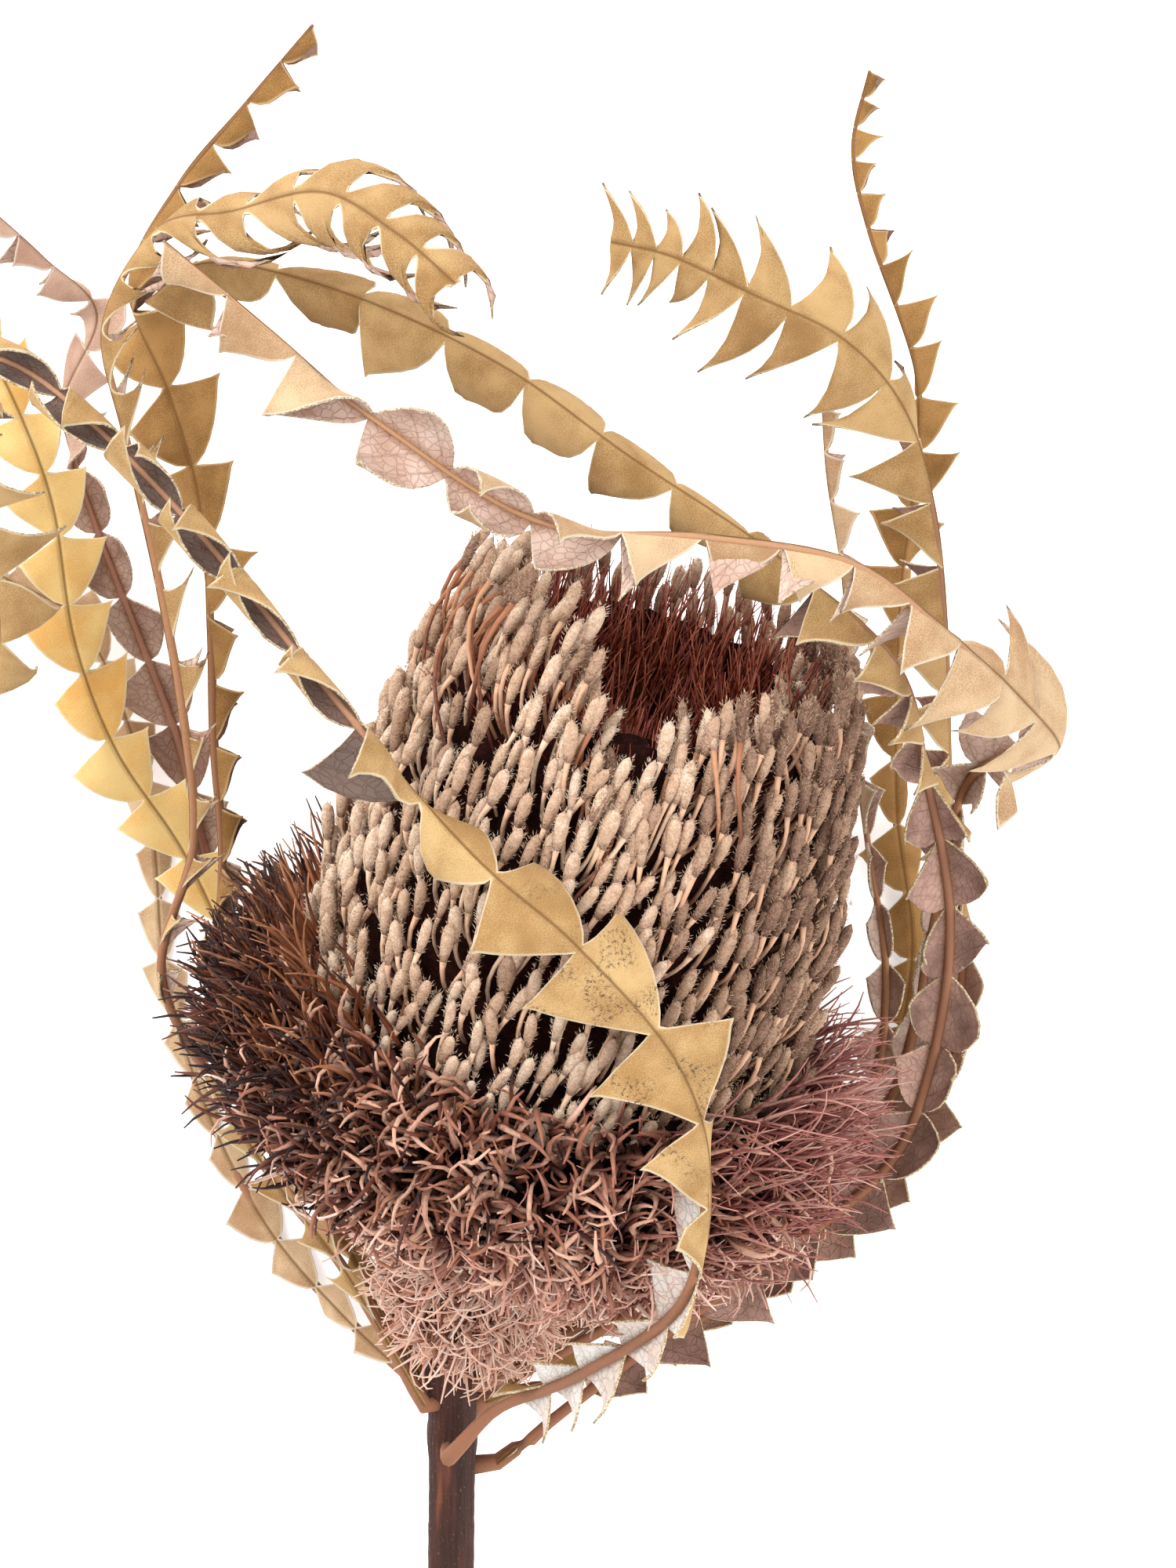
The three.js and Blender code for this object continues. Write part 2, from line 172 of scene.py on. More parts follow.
class Paint:
    """A material whose nodes are written as expressions."""

    def __init__(self, name: str) -> None:
        """Makes an empty material with one Principled shader."""
        self.material = bpy.data.materials.new(name)
        self.material.use_nodes = True
        self.tree = self.material.node_tree
        self.tree.nodes.clear()
        self.shader = self.tree.nodes.new("ShaderNodeBsdfPrincipled")
        output = self.tree.nodes.new("ShaderNodeOutputMaterial")
        self.tree.links.new(self.shader.outputs[0], output.inputs["Surface"])

    def node(self, kind: str, settings: dict, sockets: dict, output: Union[int, str] = 0) -> Wire:
        """Adds any node.

        Args:
            kind: the node's type.
            settings: its properties, which are set first.
            sockets: values or wires for its inputs, by name or place.
            output: which output to return.

        Returns:
            That output.
        """
        made = self.tree.nodes.new(kind)
        for key, value in settings.items():
            setattr(made, key, value)
        for key, value in sockets.items():
            if isinstance(value, Wire):
                self.tree.links.new(value.socket, made.inputs[key])
            else:
                made.inputs[key].default_value = value
        return Wire(self, made.outputs[output])

    def attribute(self, name: str) -> Wire:
        """Reads a number stored on the piece's points."""
        return self.node("ShaderNodeAttribute", {"attribute_name": name}, {}, "Fac")

    def place(self) -> Wire:
        """Reads the point's place on the object, in metres."""
        return self.node("ShaderNodeTexCoord", {}, {}, "Object")

    def vector(self, x: Number, y: Number, z: Number = 0.0) -> Wire:
        """Joins three numbers into a vector."""
        return self.node("ShaderNodeCombineXYZ", {}, {"X": x, "Y": y, "Z": z})

    def axis(self, vector: Wire, name: str) -> Wire:
        """Takes one axis of a vector."""
        return self.node("ShaderNodeSeparateXYZ", {}, {"Vector": vector}, name)

    def noise(self, vector: Wire, scale: float, detail: float = 2.0, roughness: float = 0.5) -> Wire:
        """Samples smooth noise.

        Args:
            vector: where to sample.
            scale: how many features per unit of the vector.
            detail: octaves.
            roughness: strength of the finer octaves.

        Returns:
            The noise, around 0.5.
        """
        sockets = {"Vector": vector, "Scale": scale, "Detail": detail, "Roughness": roughness}
        return self.node("ShaderNodeTexNoise", {}, sockets, "Fac")

    def cells(self, vector: Wire, scale: float) -> Wire:
        """Distance to the nearest border between random cells."""
        settings = {"feature": "DISTANCE_TO_EDGE"}
        sockets = {"Vector": vector, "Scale": scale}
        return self.node("ShaderNodeTexVoronoi", settings, sockets, "Distance")

    def mix(self, share: Number, first: Union[Wire, tuple], second: Union[Wire, tuple]) -> Wire:
        """Mixes two colours.

        Args:
            share: 0 gives the first, 1 the second.
            first: a colour.
            second: a colour.

        Returns:
            The mixed colour.
        """
        settings = {"data_type": "RGBA", "blend_type": "MIX", "clamp_factor": True}
        return self.node("ShaderNodeMix", settings, {0: share, 6: first, 7: second}, 2)

    def bump(self, height: Wire, distance_mm: float, strength: float = 1.0) -> Wire:
        """Turns a height from 0 to 1 into a bumpy normal."""
        sockets = {"Height": height, "Distance": distance_mm * MM, "Strength": strength}
        return self.node("ShaderNodeBump", {}, sockets)

    def finish(self, links: dict, constants: dict) -> bpy.types.Material:
        """Feeds the shader.

        Args:
            links: wires, by the shader's socket names.
            constants: fixed values, by the shader's socket names.

        Returns:
            The material.
        """
        for key, value in constants.items():
            self.shader.inputs[key].default_value = value
        for key, wire in links.items():
            self.tree.links.new(wire.socket, self.shader.inputs[key])
        return self.material


@dataclass(frozen=True)
class FeltUpper:
    """The felted upper side of a leaf: short pale wool over a tan blade, with a groove and a pale edge
    that is partly painted rim light.
    """

    name: str
    light: str
    deep: str
    edge: str
    spots: bool = False
    groove: str = "80582f"
    mould: str = "463c3c"

    def material(self) -> bpy.types.Material:
        """Builds the material."""
        paint = Paint(self.name)
        across = paint.attribute("across_mm")
        along = paint.attribute("along_mm")
        edge = paint.attribute("edge_mm")
        tone = paint.attribute("tone")
        skin = paint.vector(across, along)
        felt = paint.noise(skin, 4.5, 3.0, 0.7)
        patches = paint.noise(skin, 0.16, 3.0, 0.55)
        grain = paint.noise(skin, 1.6, 2.0, 0.6)
        shade = (patches - 0.5) * 1.3 + (tone - 0.5) * 0.5 + (felt - 0.5) * 2.4 + 0.52
        colour = paint.mix(shade.rise(0.05, 0.95), linear(self.deep), linear(self.light))
        colour = paint.mix((1.0 - abs(across).rise(0.1, 0.4)) * 0.75, colour, linear(self.groove))
        # The pale edge is partly the felt's own pale rim and partly painted rim light.
        ragged = edge + (felt - 0.5) * 0.5
        colour = paint.mix((1.0 - ragged.rise(0.15, 0.7)) * 0.7, colour, linear(self.edge))
        if self.spots:
            colour = self._mould(paint, colour, skin, along)
        height = felt * 0.6 + grain * 0.25 + abs(across).rise(0.0, 0.9) * 1.6
        normal = paint.bump(height, 0.35, 0.8)
        return paint.finish(
            {"Base Color": colour, "Normal": normal},
            {"Roughness": 0.95, "Specular IOR Level": 0.15},
        )

    def _mould(self, paint: Paint, colour: Wire, skin: Wire, along: Wire) -> Wire:
        """Speckles some lobes of the leaf with grey mould."""
        where = paint.noise(skin, 0.14, 0.0).rise(0.5, 0.66)
        stretch = along.rise(108.0, 118.0) * (1.0 - along.rise(168.0, 178.0))
        specks = paint.noise(skin, 1.3, 4.0, 0.8).rise(0.5, 0.62)
        return paint.mix(where * stretch * specks * 0.85, colour, linear(self.mould))


@dataclass(frozen=True)
class FeltUnder:
    """The underside of a leaf: thin pinkish grey felt over a fine net of veins, painted with shadow
    colour past dark_from.
    """

    name: str
    light: str
    deep: str
    dark_from: float = 1000.0
    vein: str = "9a7060"
    midrib: str = "9a6b48"
    shadow: str = "6c4838"

    def material(self) -> bpy.types.Material:
        """Builds the material."""
        paint = Paint(self.name)
        across = paint.attribute("across_mm")
        along = paint.attribute("along_mm")
        tone = paint.attribute("tone")
        skin = paint.vector(across, along)
        wobble = paint.noise(skin, 0.5, 2.0)
        net = paint.cells(paint.vector(across + wobble * 1.2, along + wobble), 0.62)
        side_veins = (along * 1.25 - abs(across) * 1.05 + wobble).sine()
        vein = (1.0 - net.rise(0.0, 0.09)) * 0.6 + side_veins.rise(0.93, 1.0) * 0.6
        felt = paint.noise(skin, 5.0, 2.0, 0.7)
        patches = paint.noise(skin, 0.14, 2.0)
        shade = (patches - 0.5) * 1.4 + (felt - 0.5) * 0.5 + (tone - 0.5) * 0.5 + 0.55
        colour = paint.mix(shade.rise(0.05, 0.95), linear(self.deep), linear(self.light))
        colour = paint.mix(vein * 0.35, colour, linear(self.vein))
        colour = paint.mix((1.0 - abs(across).rise(0.7, 2.2)) * 0.6, colour, linear(self.midrib))
        # Painted shadow: past dark_from mm along the leaf the underside is mixed towards the shadow
        # colour, for the part that lies in shade.
        dark = along.rise(self.dark_from, self.dark_from + 25.0) * 0.85
        colour = paint.mix(dark, colour, linear(self.shadow))
        height = felt * 0.35 + vein * 0.9 + (1.0 - abs(across).rise(0.4, 1.6)) * 1.5
        normal = paint.bump(height, 0.3, 0.8)
        return paint.finish(
            {"Base Color": colour, "Normal": normal},
            {"Roughness": 0.9, "Specular IOR Level": 0.15},
        )


@dataclass(frozen=True)
class WoollyFringe:
    """The pale hairs along a leaf's cut edge, in the edge colour, which is partly painted rim light."""

    name: str
    colour: str
    root: str = "a8875c"

    def material(self) -> bpy.types.Material:
        """Builds the material."""
        paint = Paint(self.name)
        fuzz = paint.noise(paint.place(), 2500.0, 2.0)
        colour = paint.mix(fuzz.rise(0.3, 0.7), linear(self.root), linear(self.colour))
        return paint.finish(
            {"Base Color": colour, "Normal": paint.bump(fuzz, 0.2)},
            {"Roughness": 0.95, "Specular IOR Level": 0.1},
        )


@dataclass(frozen=True)
class StalkFinish:
    """A thin dry stalk, strand or rib whose colour runs from its root to its tip."""

    name: str
    root: str
    tip: str
    pale: str
    roughness: float = 0.6
    grain: float = 900.0

    def material(self) -> bpy.types.Material:
        """Builds the material."""
        paint = Paint(self.name)
        along = paint.attribute("along")
        tone = paint.attribute("tone")
        grain = paint.noise(paint.place(), self.grain, 3.0, 0.6)
        length = (along + (grain - 0.5) * 0.4).rise(0.0, 1.0)
        colour = paint.mix(length, linear(self.root), linear(self.tip))
        colour = paint.mix((tone + (grain - 0.5) * 0.6).rise(0.35, 1.05), colour, linear(self.pale))
        return paint.finish(
            {"Base Color": colour, "Normal": paint.bump(grain, 0.2, 0.7)},
            {"Roughness": self.roughness, "Specular IOR Level": 0.3},
        )


@dataclass(frozen=True)
class WoolFinish:
    """The matted wool on a floret: pale hair tips over darker brown wool, darker where the tone is low,
    which on the head's side away from the key light is painted shade.
    """

    name: str
    light: str
    mid: str
    dark: str

    def material(self) -> bpy.types.Material:
        """Builds the material."""
        paint = Paint(self.name)
        along = paint.attribute("along")
        tone = paint.attribute("tone")
        where = paint.place()
        fuzz = paint.noise(where, 2600.0, 3.0, 0.75)
        clumps = paint.noise(where, 650.0, 2.0, 0.6)
        shade = (fuzz - 0.5) * 1.2 + (clumps - 0.5) * 0.8 + (tone - 0.5) * 0.5 + along * 0.2 + 0.42
        colour = paint.mix(shade.rise(0.45, 1.05), linear(self.mid), linear(self.light))
        colour = paint.mix(1.0 - shade.rise(0.0, 0.5), colour, linear(self.dark))
        colour = paint.mix((1.0 - along.rise(0.03, 0.35)) * 0.7, colour, linear(self.dark))
        # Random tone and painted shade: a low tone darkens the wool, and the head's florets get a lower
        # tone on the side away from the key light.
        colour = paint.mix((1.0 - tone.rise(0.0, 0.5)) * 0.6, colour, linear(self.dark))
        height = fuzz + clumps * 0.8
        return paint.finish(
            {"Base Color": colour, "Normal": paint.bump(height, 0.35, 0.8)},
            {"Roughness": 1.0, "Specular IOR Level": 0.05},
        )


@dataclass(frozen=True)
class MattedGround:
    """The dark mass of wool and broken strands that shows between the florets; its near-black is partly
    painted shade.
    """

    name: str
    light: str
    dark: str

    def material(self) -> bpy.types.Material:
        """Builds the material."""
        paint = Paint(self.name)
        where = paint.place()
        fibres = paint.noise(where, 700.0, 4.0, 0.7)
        clumps = paint.noise(where, 160.0, 2.0)
        matted = (fibres * 0.7 + clumps * 0.5).rise(0.45, 0.95)
        # Partly painted shade: the near-black dark tone stands for the shade deep between the strands
        # as well as the wool's own colour.
        colour = paint.mix(matted, linear(self.dark), linear(self.light))
        return paint.finish(
            {"Base Color": colour, "Normal": paint.bump(fibres, 1.2)},
            {"Roughness": 1.0, "Specular IOR Level": 0.1},
        )


@dataclass(frozen=True)
class BarkFinish:
    """Dark dry bark, streaked lengthways, with warmer brown where it has rubbed."""

    name: str = "stem_bark"
    dark: str = "321a16"
    brown: str = "5b3023"
    rubbed: str = "985839"
    pore: str = "a5795a"

    def material(self) -> bpy.types.Material:
        """Builds the material."""
        paint = Paint(self.name)
        round_mm = paint.attribute("across_mm")
        along = paint.attribute("along_mm")
        fibre = paint.noise(paint.vector(round_mm * 1.4, along * 0.07), 1.0, 4.0, 0.65)
        patch = paint.noise(paint.vector(round_mm * 0.25, along * 0.03), 1.0, 3.0, 0.6)
        pores = paint.noise(paint.vector(round_mm, along * 0.5), 2.2, 2.0).rise(0.62, 0.7)
        streaks = (fibre * 0.6 + patch * 0.6).rise(0.42, 0.82)
        colour = paint.mix(streaks, linear(self.dark), linear(self.brown))
        colour = paint.mix(patch.rise(0.55, 0.75) * 0.7, colour, linear(self.rubbed))
        colour = paint.mix(pores * 0.5, colour, linear(self.pore))
        height = fibre + patch * 0.5 + pores * 0.3
        return paint.finish(
            {"Base Color": colour, "Normal": paint.bump(height, 0.7)},
            {"Roughness": 0.75, "Specular IOR Level": 0.3},
        )


@dataclass(frozen=True)
class CutWood:
    """The stem's cut face: pale wood with rings round a soft brown pith."""

    name: str = "cut_wood"
    late: str = "b98f62"
    early: str = "e0bd8c"
    pith: str = "7d5334"

    def material(self) -> bpy.types.Material:
        """Builds the material."""
        paint = Paint(self.name)
        where = paint.place()
        x = paint.axis(where, "X") - float(STEM_END[0] * MM)
        z = paint.axis(where, "Z") - float(STEM_END[2] * MM)
        radius = (x * x + z * z) ** 0.5 / MM
        saw = paint.noise(where, 1500.0, 3.0)
        rings = (radius * 7.0 + saw * 1.5).sine().rise(-1.0, 1.0)
        colour = paint.mix(rings * 0.6 + saw * 0.3, linear(self.late), linear(self.early))
        colour = paint.mix(1.0 - (radius + saw * 0.4).rise(0.7, 1.1), colour, linear(self.pith))
        return paint.finish(
            {"Base Color": colour, "Normal": paint.bump(saw, 0.15)},
            {"Roughness": 0.85, "Specular IOR Level": 0.2},
        )


class LeafSkin(Enum):
    """The colourings that the leaves come in, one of them with painted shade.

    Each is the upper side's light and deep tones, the edge, the underside's light and deep
    tones, and the rib.
    """

    OLIVE = ("d6b07c", "a47b4b", "f8e8c4", "f0d2c0", "c0917c", "c08e64")
    FRONT = ("e2bd86", "b48a57", "fbeccc", "fffcf6", "fbe4d6", "d6a482")
    TAN = ("e8c8a0", "b98f68", "fff2dc", "f4d8c8", "c8a08c", "cc9c74")
    GOLDEN = ("ffdc94", "f0b462", "fff4d0", "f0cca6", "bc9668", "d49e58")
    # SHADED: its dark underside tones are painted shade, for leaves whose undersides lie in shadow.
    SHADED = ("d1ac78", "a0794a", "f8e8c4", "d2aa9a", "8e6e62", "a2745a")
    BROWN = ("bd9058", "8a6236", "dcbb8a", "b0907e", "745248", "8f6440")
    PALE = ("e6c2aa", "bd9480", "f6e4d4", "dcbcaa", "a07c6c", "b0806a")


# ---------------------------------------------------------------------------------------
# Mesh helpers
# ---------------------------------------------------------------------------------------


@dataclass
class Pattern:
    """A small closed shape along +Z that is placed many times."""

    points: np.ndarray
    corners: np.ndarray
    totals: np.ndarray
    along: np.ndarray


@dataclass
class Scatter:
    """Where the copies of a pattern go: each copy's origin, axes and shade."""

    origins: np.ndarray
    axes: np.ndarray
    tones: np.ndarray

    def where(self, chosen: np.ndarray) -> "Scatter":
        """Takes only some of the places.

        Args:
            chosen: whether each place is taken.

        Returns:
            Those places.
        """
        return Scatter(self.origins[chosen], self.axes[chosen], self.tones[chosen])


def axes_from(direction: np.ndarray, outward: np.ndarray, roll: np.ndarray) -> np.ndarray:
    """Builds right-handed axes with Z along each direction and X near outward, then rolled.

    Args:
        direction: the copies' +Z, shape (n, 3).
        outward: where their +X should lean, shape (n, 3).
        roll: turn about +Z in radians, shape (n,).

    Returns:
        Matrices of column axes, shape (n, 3, 3).
    """
    z = unit(direction)
    y = unit(np.cross(z, outward))
    x = np.cross(y, z)
    c, s = np.cos(roll)[:, None], np.sin(roll)[:, None]
    return np.stack([x * c + y * s, y * c - x * s, z], axis=-1)


def pattern_from(bm: bmesh.types.BMesh) -> Pattern:
    """Takes the shape out of a bmesh and frees it.

    Args:
        bm: a closed shape whose length runs along +Z.

    Returns:
        The pattern.
    """
    bmesh.ops.recalc_face_normals(bm, faces=bm.faces)
    bm.verts.index_update()
    points = np.array([v.co for v in bm.verts], dtype=float)
    corners = np.array([v.index for f in bm.faces for v in f.verts], dtype=np.int64)
    totals = np.array([len(f.verts) for f in bm.faces], dtype=np.int64)
    layer = bm.verts.layers.float.get("along")
    if layer:
        along = np.array([v[layer] for v in bm.verts])
    else:
        along = points[:, 2] / max(points[:, 2].max(), 1e-6)
    bm.free()
    return Pattern(points, corners, totals, along)


def tube_bmesh(
    route: np.ndarray, radii: np.ndarray, sides: int, side_hint: Optional[np.ndarray] = None
) -> bmesh.types.BMesh:
    """Bends a capped cylinder along a route.

    Args:
        route: points from root to tip, shape (n, 3).
        radii: radius at each point.
        sides: sides of the section.
        side_hint: a direction per point that the section's first corner turns to.

    Returns:
        The bmesh, with its share of the length in the vertex layer "along".
    """
    steps = len(route)
    bm = bmesh.new()
    bmesh.ops.create_cone(bm, cap_ends=True, segments=sides, radius1=1.0, radius2=1.0, depth=1.0)
    uprights = [e for e in bm.edges if abs(e.verts[0].co.z - e.verts[1].co.z) > 0.5]
    if steps > 2:
        bmesh.ops.subdivide_edges(bm, edges=uprights, cuts=steps - 2, use_grid_fill=True)
    layer = bm.verts.layers.float.new("along")
    tangent = unit(np.gradient(route, axis=0))
    if side_hint is None:
        side_hint = np.tile(np.array([0.31, 0.17, 0.93]), (steps, 1))
    first = unit(side_hint - tangent * (side_hint * tangent).sum(-1, keepdims=True))
    second = np.cross(tangent, first)
    for vert in bm.verts:
        station = int(round((vert.co.z + 0.5) * (steps - 1)))
        vert[layer] = station / (steps - 1)
        offset = first[station] * vert.co.x + second[station] * vert.co.y
        vert.co = Vector(route[station] + offset * radii[station])
    bmesh.ops.recalc_face_normals(bm, faces=bm.faces)
    return bm


def strand_pattern(
    length: float, thickness: float, turn: float, sides: int = 4, rings: int = 6, twist: float = 0.0
) -> Pattern:
    """A tapered strand that curls towards +X as it grows.

    Args:
        length: its length.
        thickness: its radius at the root.
        turn: how far it turns over its length, in degrees.
        sides: sides of its section.
        rings: sections along it.
        twist: how far the curl leaves its plane, in degrees.

    Returns:
        The pattern.
    """
    share = np.linspace(0.0, 1.0, rings)
    bend = np.radians(turn) * share**1.3
    swing = np.radians(twist) * share
    heading = [np.sin(bend) * np.cos(swing), np.sin(bend) * np.sin(swing), np.cos(bend)]
    heading = np.stack(heading, axis=-1)
    steps = (heading[1:] + heading[:-1]) * 0.5 * (length / (rings - 1))
    route = np.vstack([np.zeros(3), np.cumsum(steps, axis=0)])
    radii = thickness * (1.0 - 0.75 * share**1.5)
    hint = np.tile(np.array([0.05, 1.0, 0.02]), (rings, 1))
    return pattern_from(tube_bmesh(route, radii, sides, hint))


def write_attribute(mesh: bpy.types.Mesh, name: str, values: np.ndarray) -> None:
    """Stores one number per point on a mesh."""
    layer = mesh.attributes.new(name, "FLOAT", "POINT")
    layer.data.foreach_set("value", np.ascontiguousarray(values, dtype=np.float32))


def placed_mesh(name: str, patterns: Sequence[Pattern], scatters: Sequence[Scatter]) -> bpy.types.Mesh:
    """Joins all copies of some patterns into one mesh, lifted clear of the surface below.

    Args:
        name: the mesh's name.
        patterns: the shapes.
        scatters: one set of places for each shape.

    Returns:
        The mesh, in metres.
    """
    points, corners, totals, along, tones = [], [], [], [], []
    count = 0
    for pattern, scatter in zip(patterns, scatters):
        copies = len(scatter.origins)
        size = len(pattern.points)
        placed = np.einsum("nij,vj->nvi", scatter.axes, pattern.points) + scatter.origins[:, None, :]
        points.append(placed.reshape(-1, 3))
        offsets = count + np.arange(copies) * size
        corners.append((pattern.corners[None, :] + offsets[:, None]).reshape(-1))
        totals.append(np.tile(pattern.totals, copies))
        along.append(np.tile(pattern.along, copies))
        tones.append(np.repeat(scatter.tones, size))
        count += copies * size
    every = np.vstack(points)
    every[:, 2] = np.maximum(every[:, 2], SURFACE_CLEARANCE)
    loops, sizes = np.concatenate(corners), np.concatenate(totals)
    mesh = bpy.data.meshes.new(name)
    mesh.vertices.add(len(every))
    mesh.vertices.foreach_set("co", (every * MM).astype(np.float32).reshape(-1))
    mesh.loops.add(len(loops))
    mesh.loops.foreach_set("vertex_index", loops.astype(np.int32))
    mesh.polygons.add(len(sizes))
    starts = np.concatenate([[0], np.cumsum(sizes)[:-1]])
    mesh.polygons.foreach_set("loop_start", starts.astype(np.int32))
    mesh.polygons.foreach_set("use_smooth", np.ones(len(sizes), dtype=bool))
    mesh.update(calc_edges=True)
    write_attribute(mesh, "along", np.concatenate(along))
    write_attribute(mesh, "tone", np.concatenate(tones))
    return mesh


def bmesh_to_mesh(name: str, bm: bmesh.types.BMesh, flat: bool = False) -> bpy.types.Mesh:
    """Writes a bmesh in millimetres to a mesh in metres and frees it.

    Args:
        name: the mesh's name.
        bm: the shape.
        flat: whether its faces stay flat-shaded.

    Returns:
        The mesh.
    """
    for face in bm.faces:
        face.smooth = not flat
    mesh = bpy.data.meshes.new(name)
    bm.to_mesh(mesh)
    bm.free()
    mesh.transform(((MM, 0, 0, 0), (0, MM, 0, 0), (0, 0, MM, 0), (0, 0, 0, 1)))
    return mesh


def add_piece(
    mesh: bpy.types.Mesh, materials: Sequence[bpy.types.Material], replaces: str = ""
) -> bpy.types.Object:
    """Makes a piece of the object from a mesh.

    Args:
        mesh: its mesh, in place.
        materials: its materials.
        replaces: the CAD node that it stands for, if any.

    Returns:
        The piece.
    """
    piece = bpy.data.objects.new(mesh.name, mesh)
    bpy.context.scene.collection.objects.link(piece)
    for material in materials:
        mesh.materials.append(material)
    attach(piece, BODY)
    if replaces:
        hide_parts(replaces)
    LOG.info("%s: %d faces", piece.name, len(mesh.polygons))
    return piece


# ---------------------------------------------------------------------------------------
# The flower head
# ---------------------------------------------------------------------------------------


@dataclass(frozen=True)
class HeadAxis:
    """The flower head's own cylindrical frame: height along its axis, angle round it."""

    base: np.ndarray = field(default_factory=lambda: HEAD_BASE)

    @property
    def along(self) -> np.ndarray:
        """The axis, from stem to crown."""
        return np.array(
            [
                np.sin(HEAD_LEAN) * np.cos(HEAD_RISE),
                np.cos(HEAD_LEAN) * np.cos(HEAD_RISE),
                np.sin(HEAD_RISE),
            ]
        )

    @property
    def sideways(self) -> np.ndarray:
        """The level direction across the axis, towards +X."""
        return unit(np.array([self.along[1], -self.along[0], 0.0]))

    @property
    def upright(self) -> np.ndarray:
        """The direction across the axis that points up from the surface."""
        return np.cross(self.sideways, self.along)

    def outward(self, angle: np.ndarray) -> np.ndarray:
        """The radial direction at each angle, shape (n, 3)."""
        return np.cos(angle)[:, None] * self.sideways + np.sin(angle)[:, None] * self.upright

    def point(self, height: np.ndarray, radius: np.ndarray, angle: np.ndarray) -> np.ndarray:
        """Points at heights, radii and angles, shape (n, 3)."""
        return self.base + height[:, None] * self.along + radius[:, None] * self.outward(angle)


@dataclass
class HeadCore:
    """A dark matted body of revolution that closes the view between strands; its darkness is partly
    painted shade.
    """

    name: str
    profile: Sequence[tuple[float, float]]
    replaces: str
    slot: str
    finish: MattedGround
    roughness: float = 0.6
    spread: float = 1.0
    seed: int = 1
    steps: int = 72

    def build(self, head: HeadAxis) -> bpy.types.Object:
        """Spins the profile round the head's axis and roughens it.

        Args:
            head: the head's frame.

        Returns:
            The piece.
        """
        bm = bmesh.new()
        verts = [bm.verts.new((radius, 0.0, height)) for height, radius in self.profile]
        edges = [bm.edges.new(pair) for pair in zip(verts, verts[1:])]
        bmesh.ops.subdivide_edges(bm, edges=edges, cuts=2)
        bmesh.ops.spin(
            bm, geom=bm.verts[:] + bm.edges[:], cent=(0, 0, 0), axis=(0, 0, 1),
            angle=2 * np.pi, steps=self.steps, use_merge=True,
        )
        bmesh.ops.remove_doubles(bm, verts=bm.verts, dist=1e-4)
        bmesh.ops.recalc_face_normals(bm, faces=bm.faces)
        rng = np.random.default_rng(self.seed)
        bm.normal_update()
        for vert in bm.verts:
            vert.co += vert.normal * float(rng.normal(0.0, self.roughness))
            where = (
                head.base
                + head.along * vert.co.z
                + head.sideways * vert.co.x * self.spread
                + head.upright * vert.co.y
            )
            where[2] = max(where[2], 2 * SURFACE_CLEARANCE)
            vert.co = Vector(where)
        bmesh.ops.recalc_face_normals(bm, faces=bm.faces)
        mesh = bmesh_to_mesh(self.name, bm)
        return add_piece(mesh, [self.finish.material()], self.replaces)


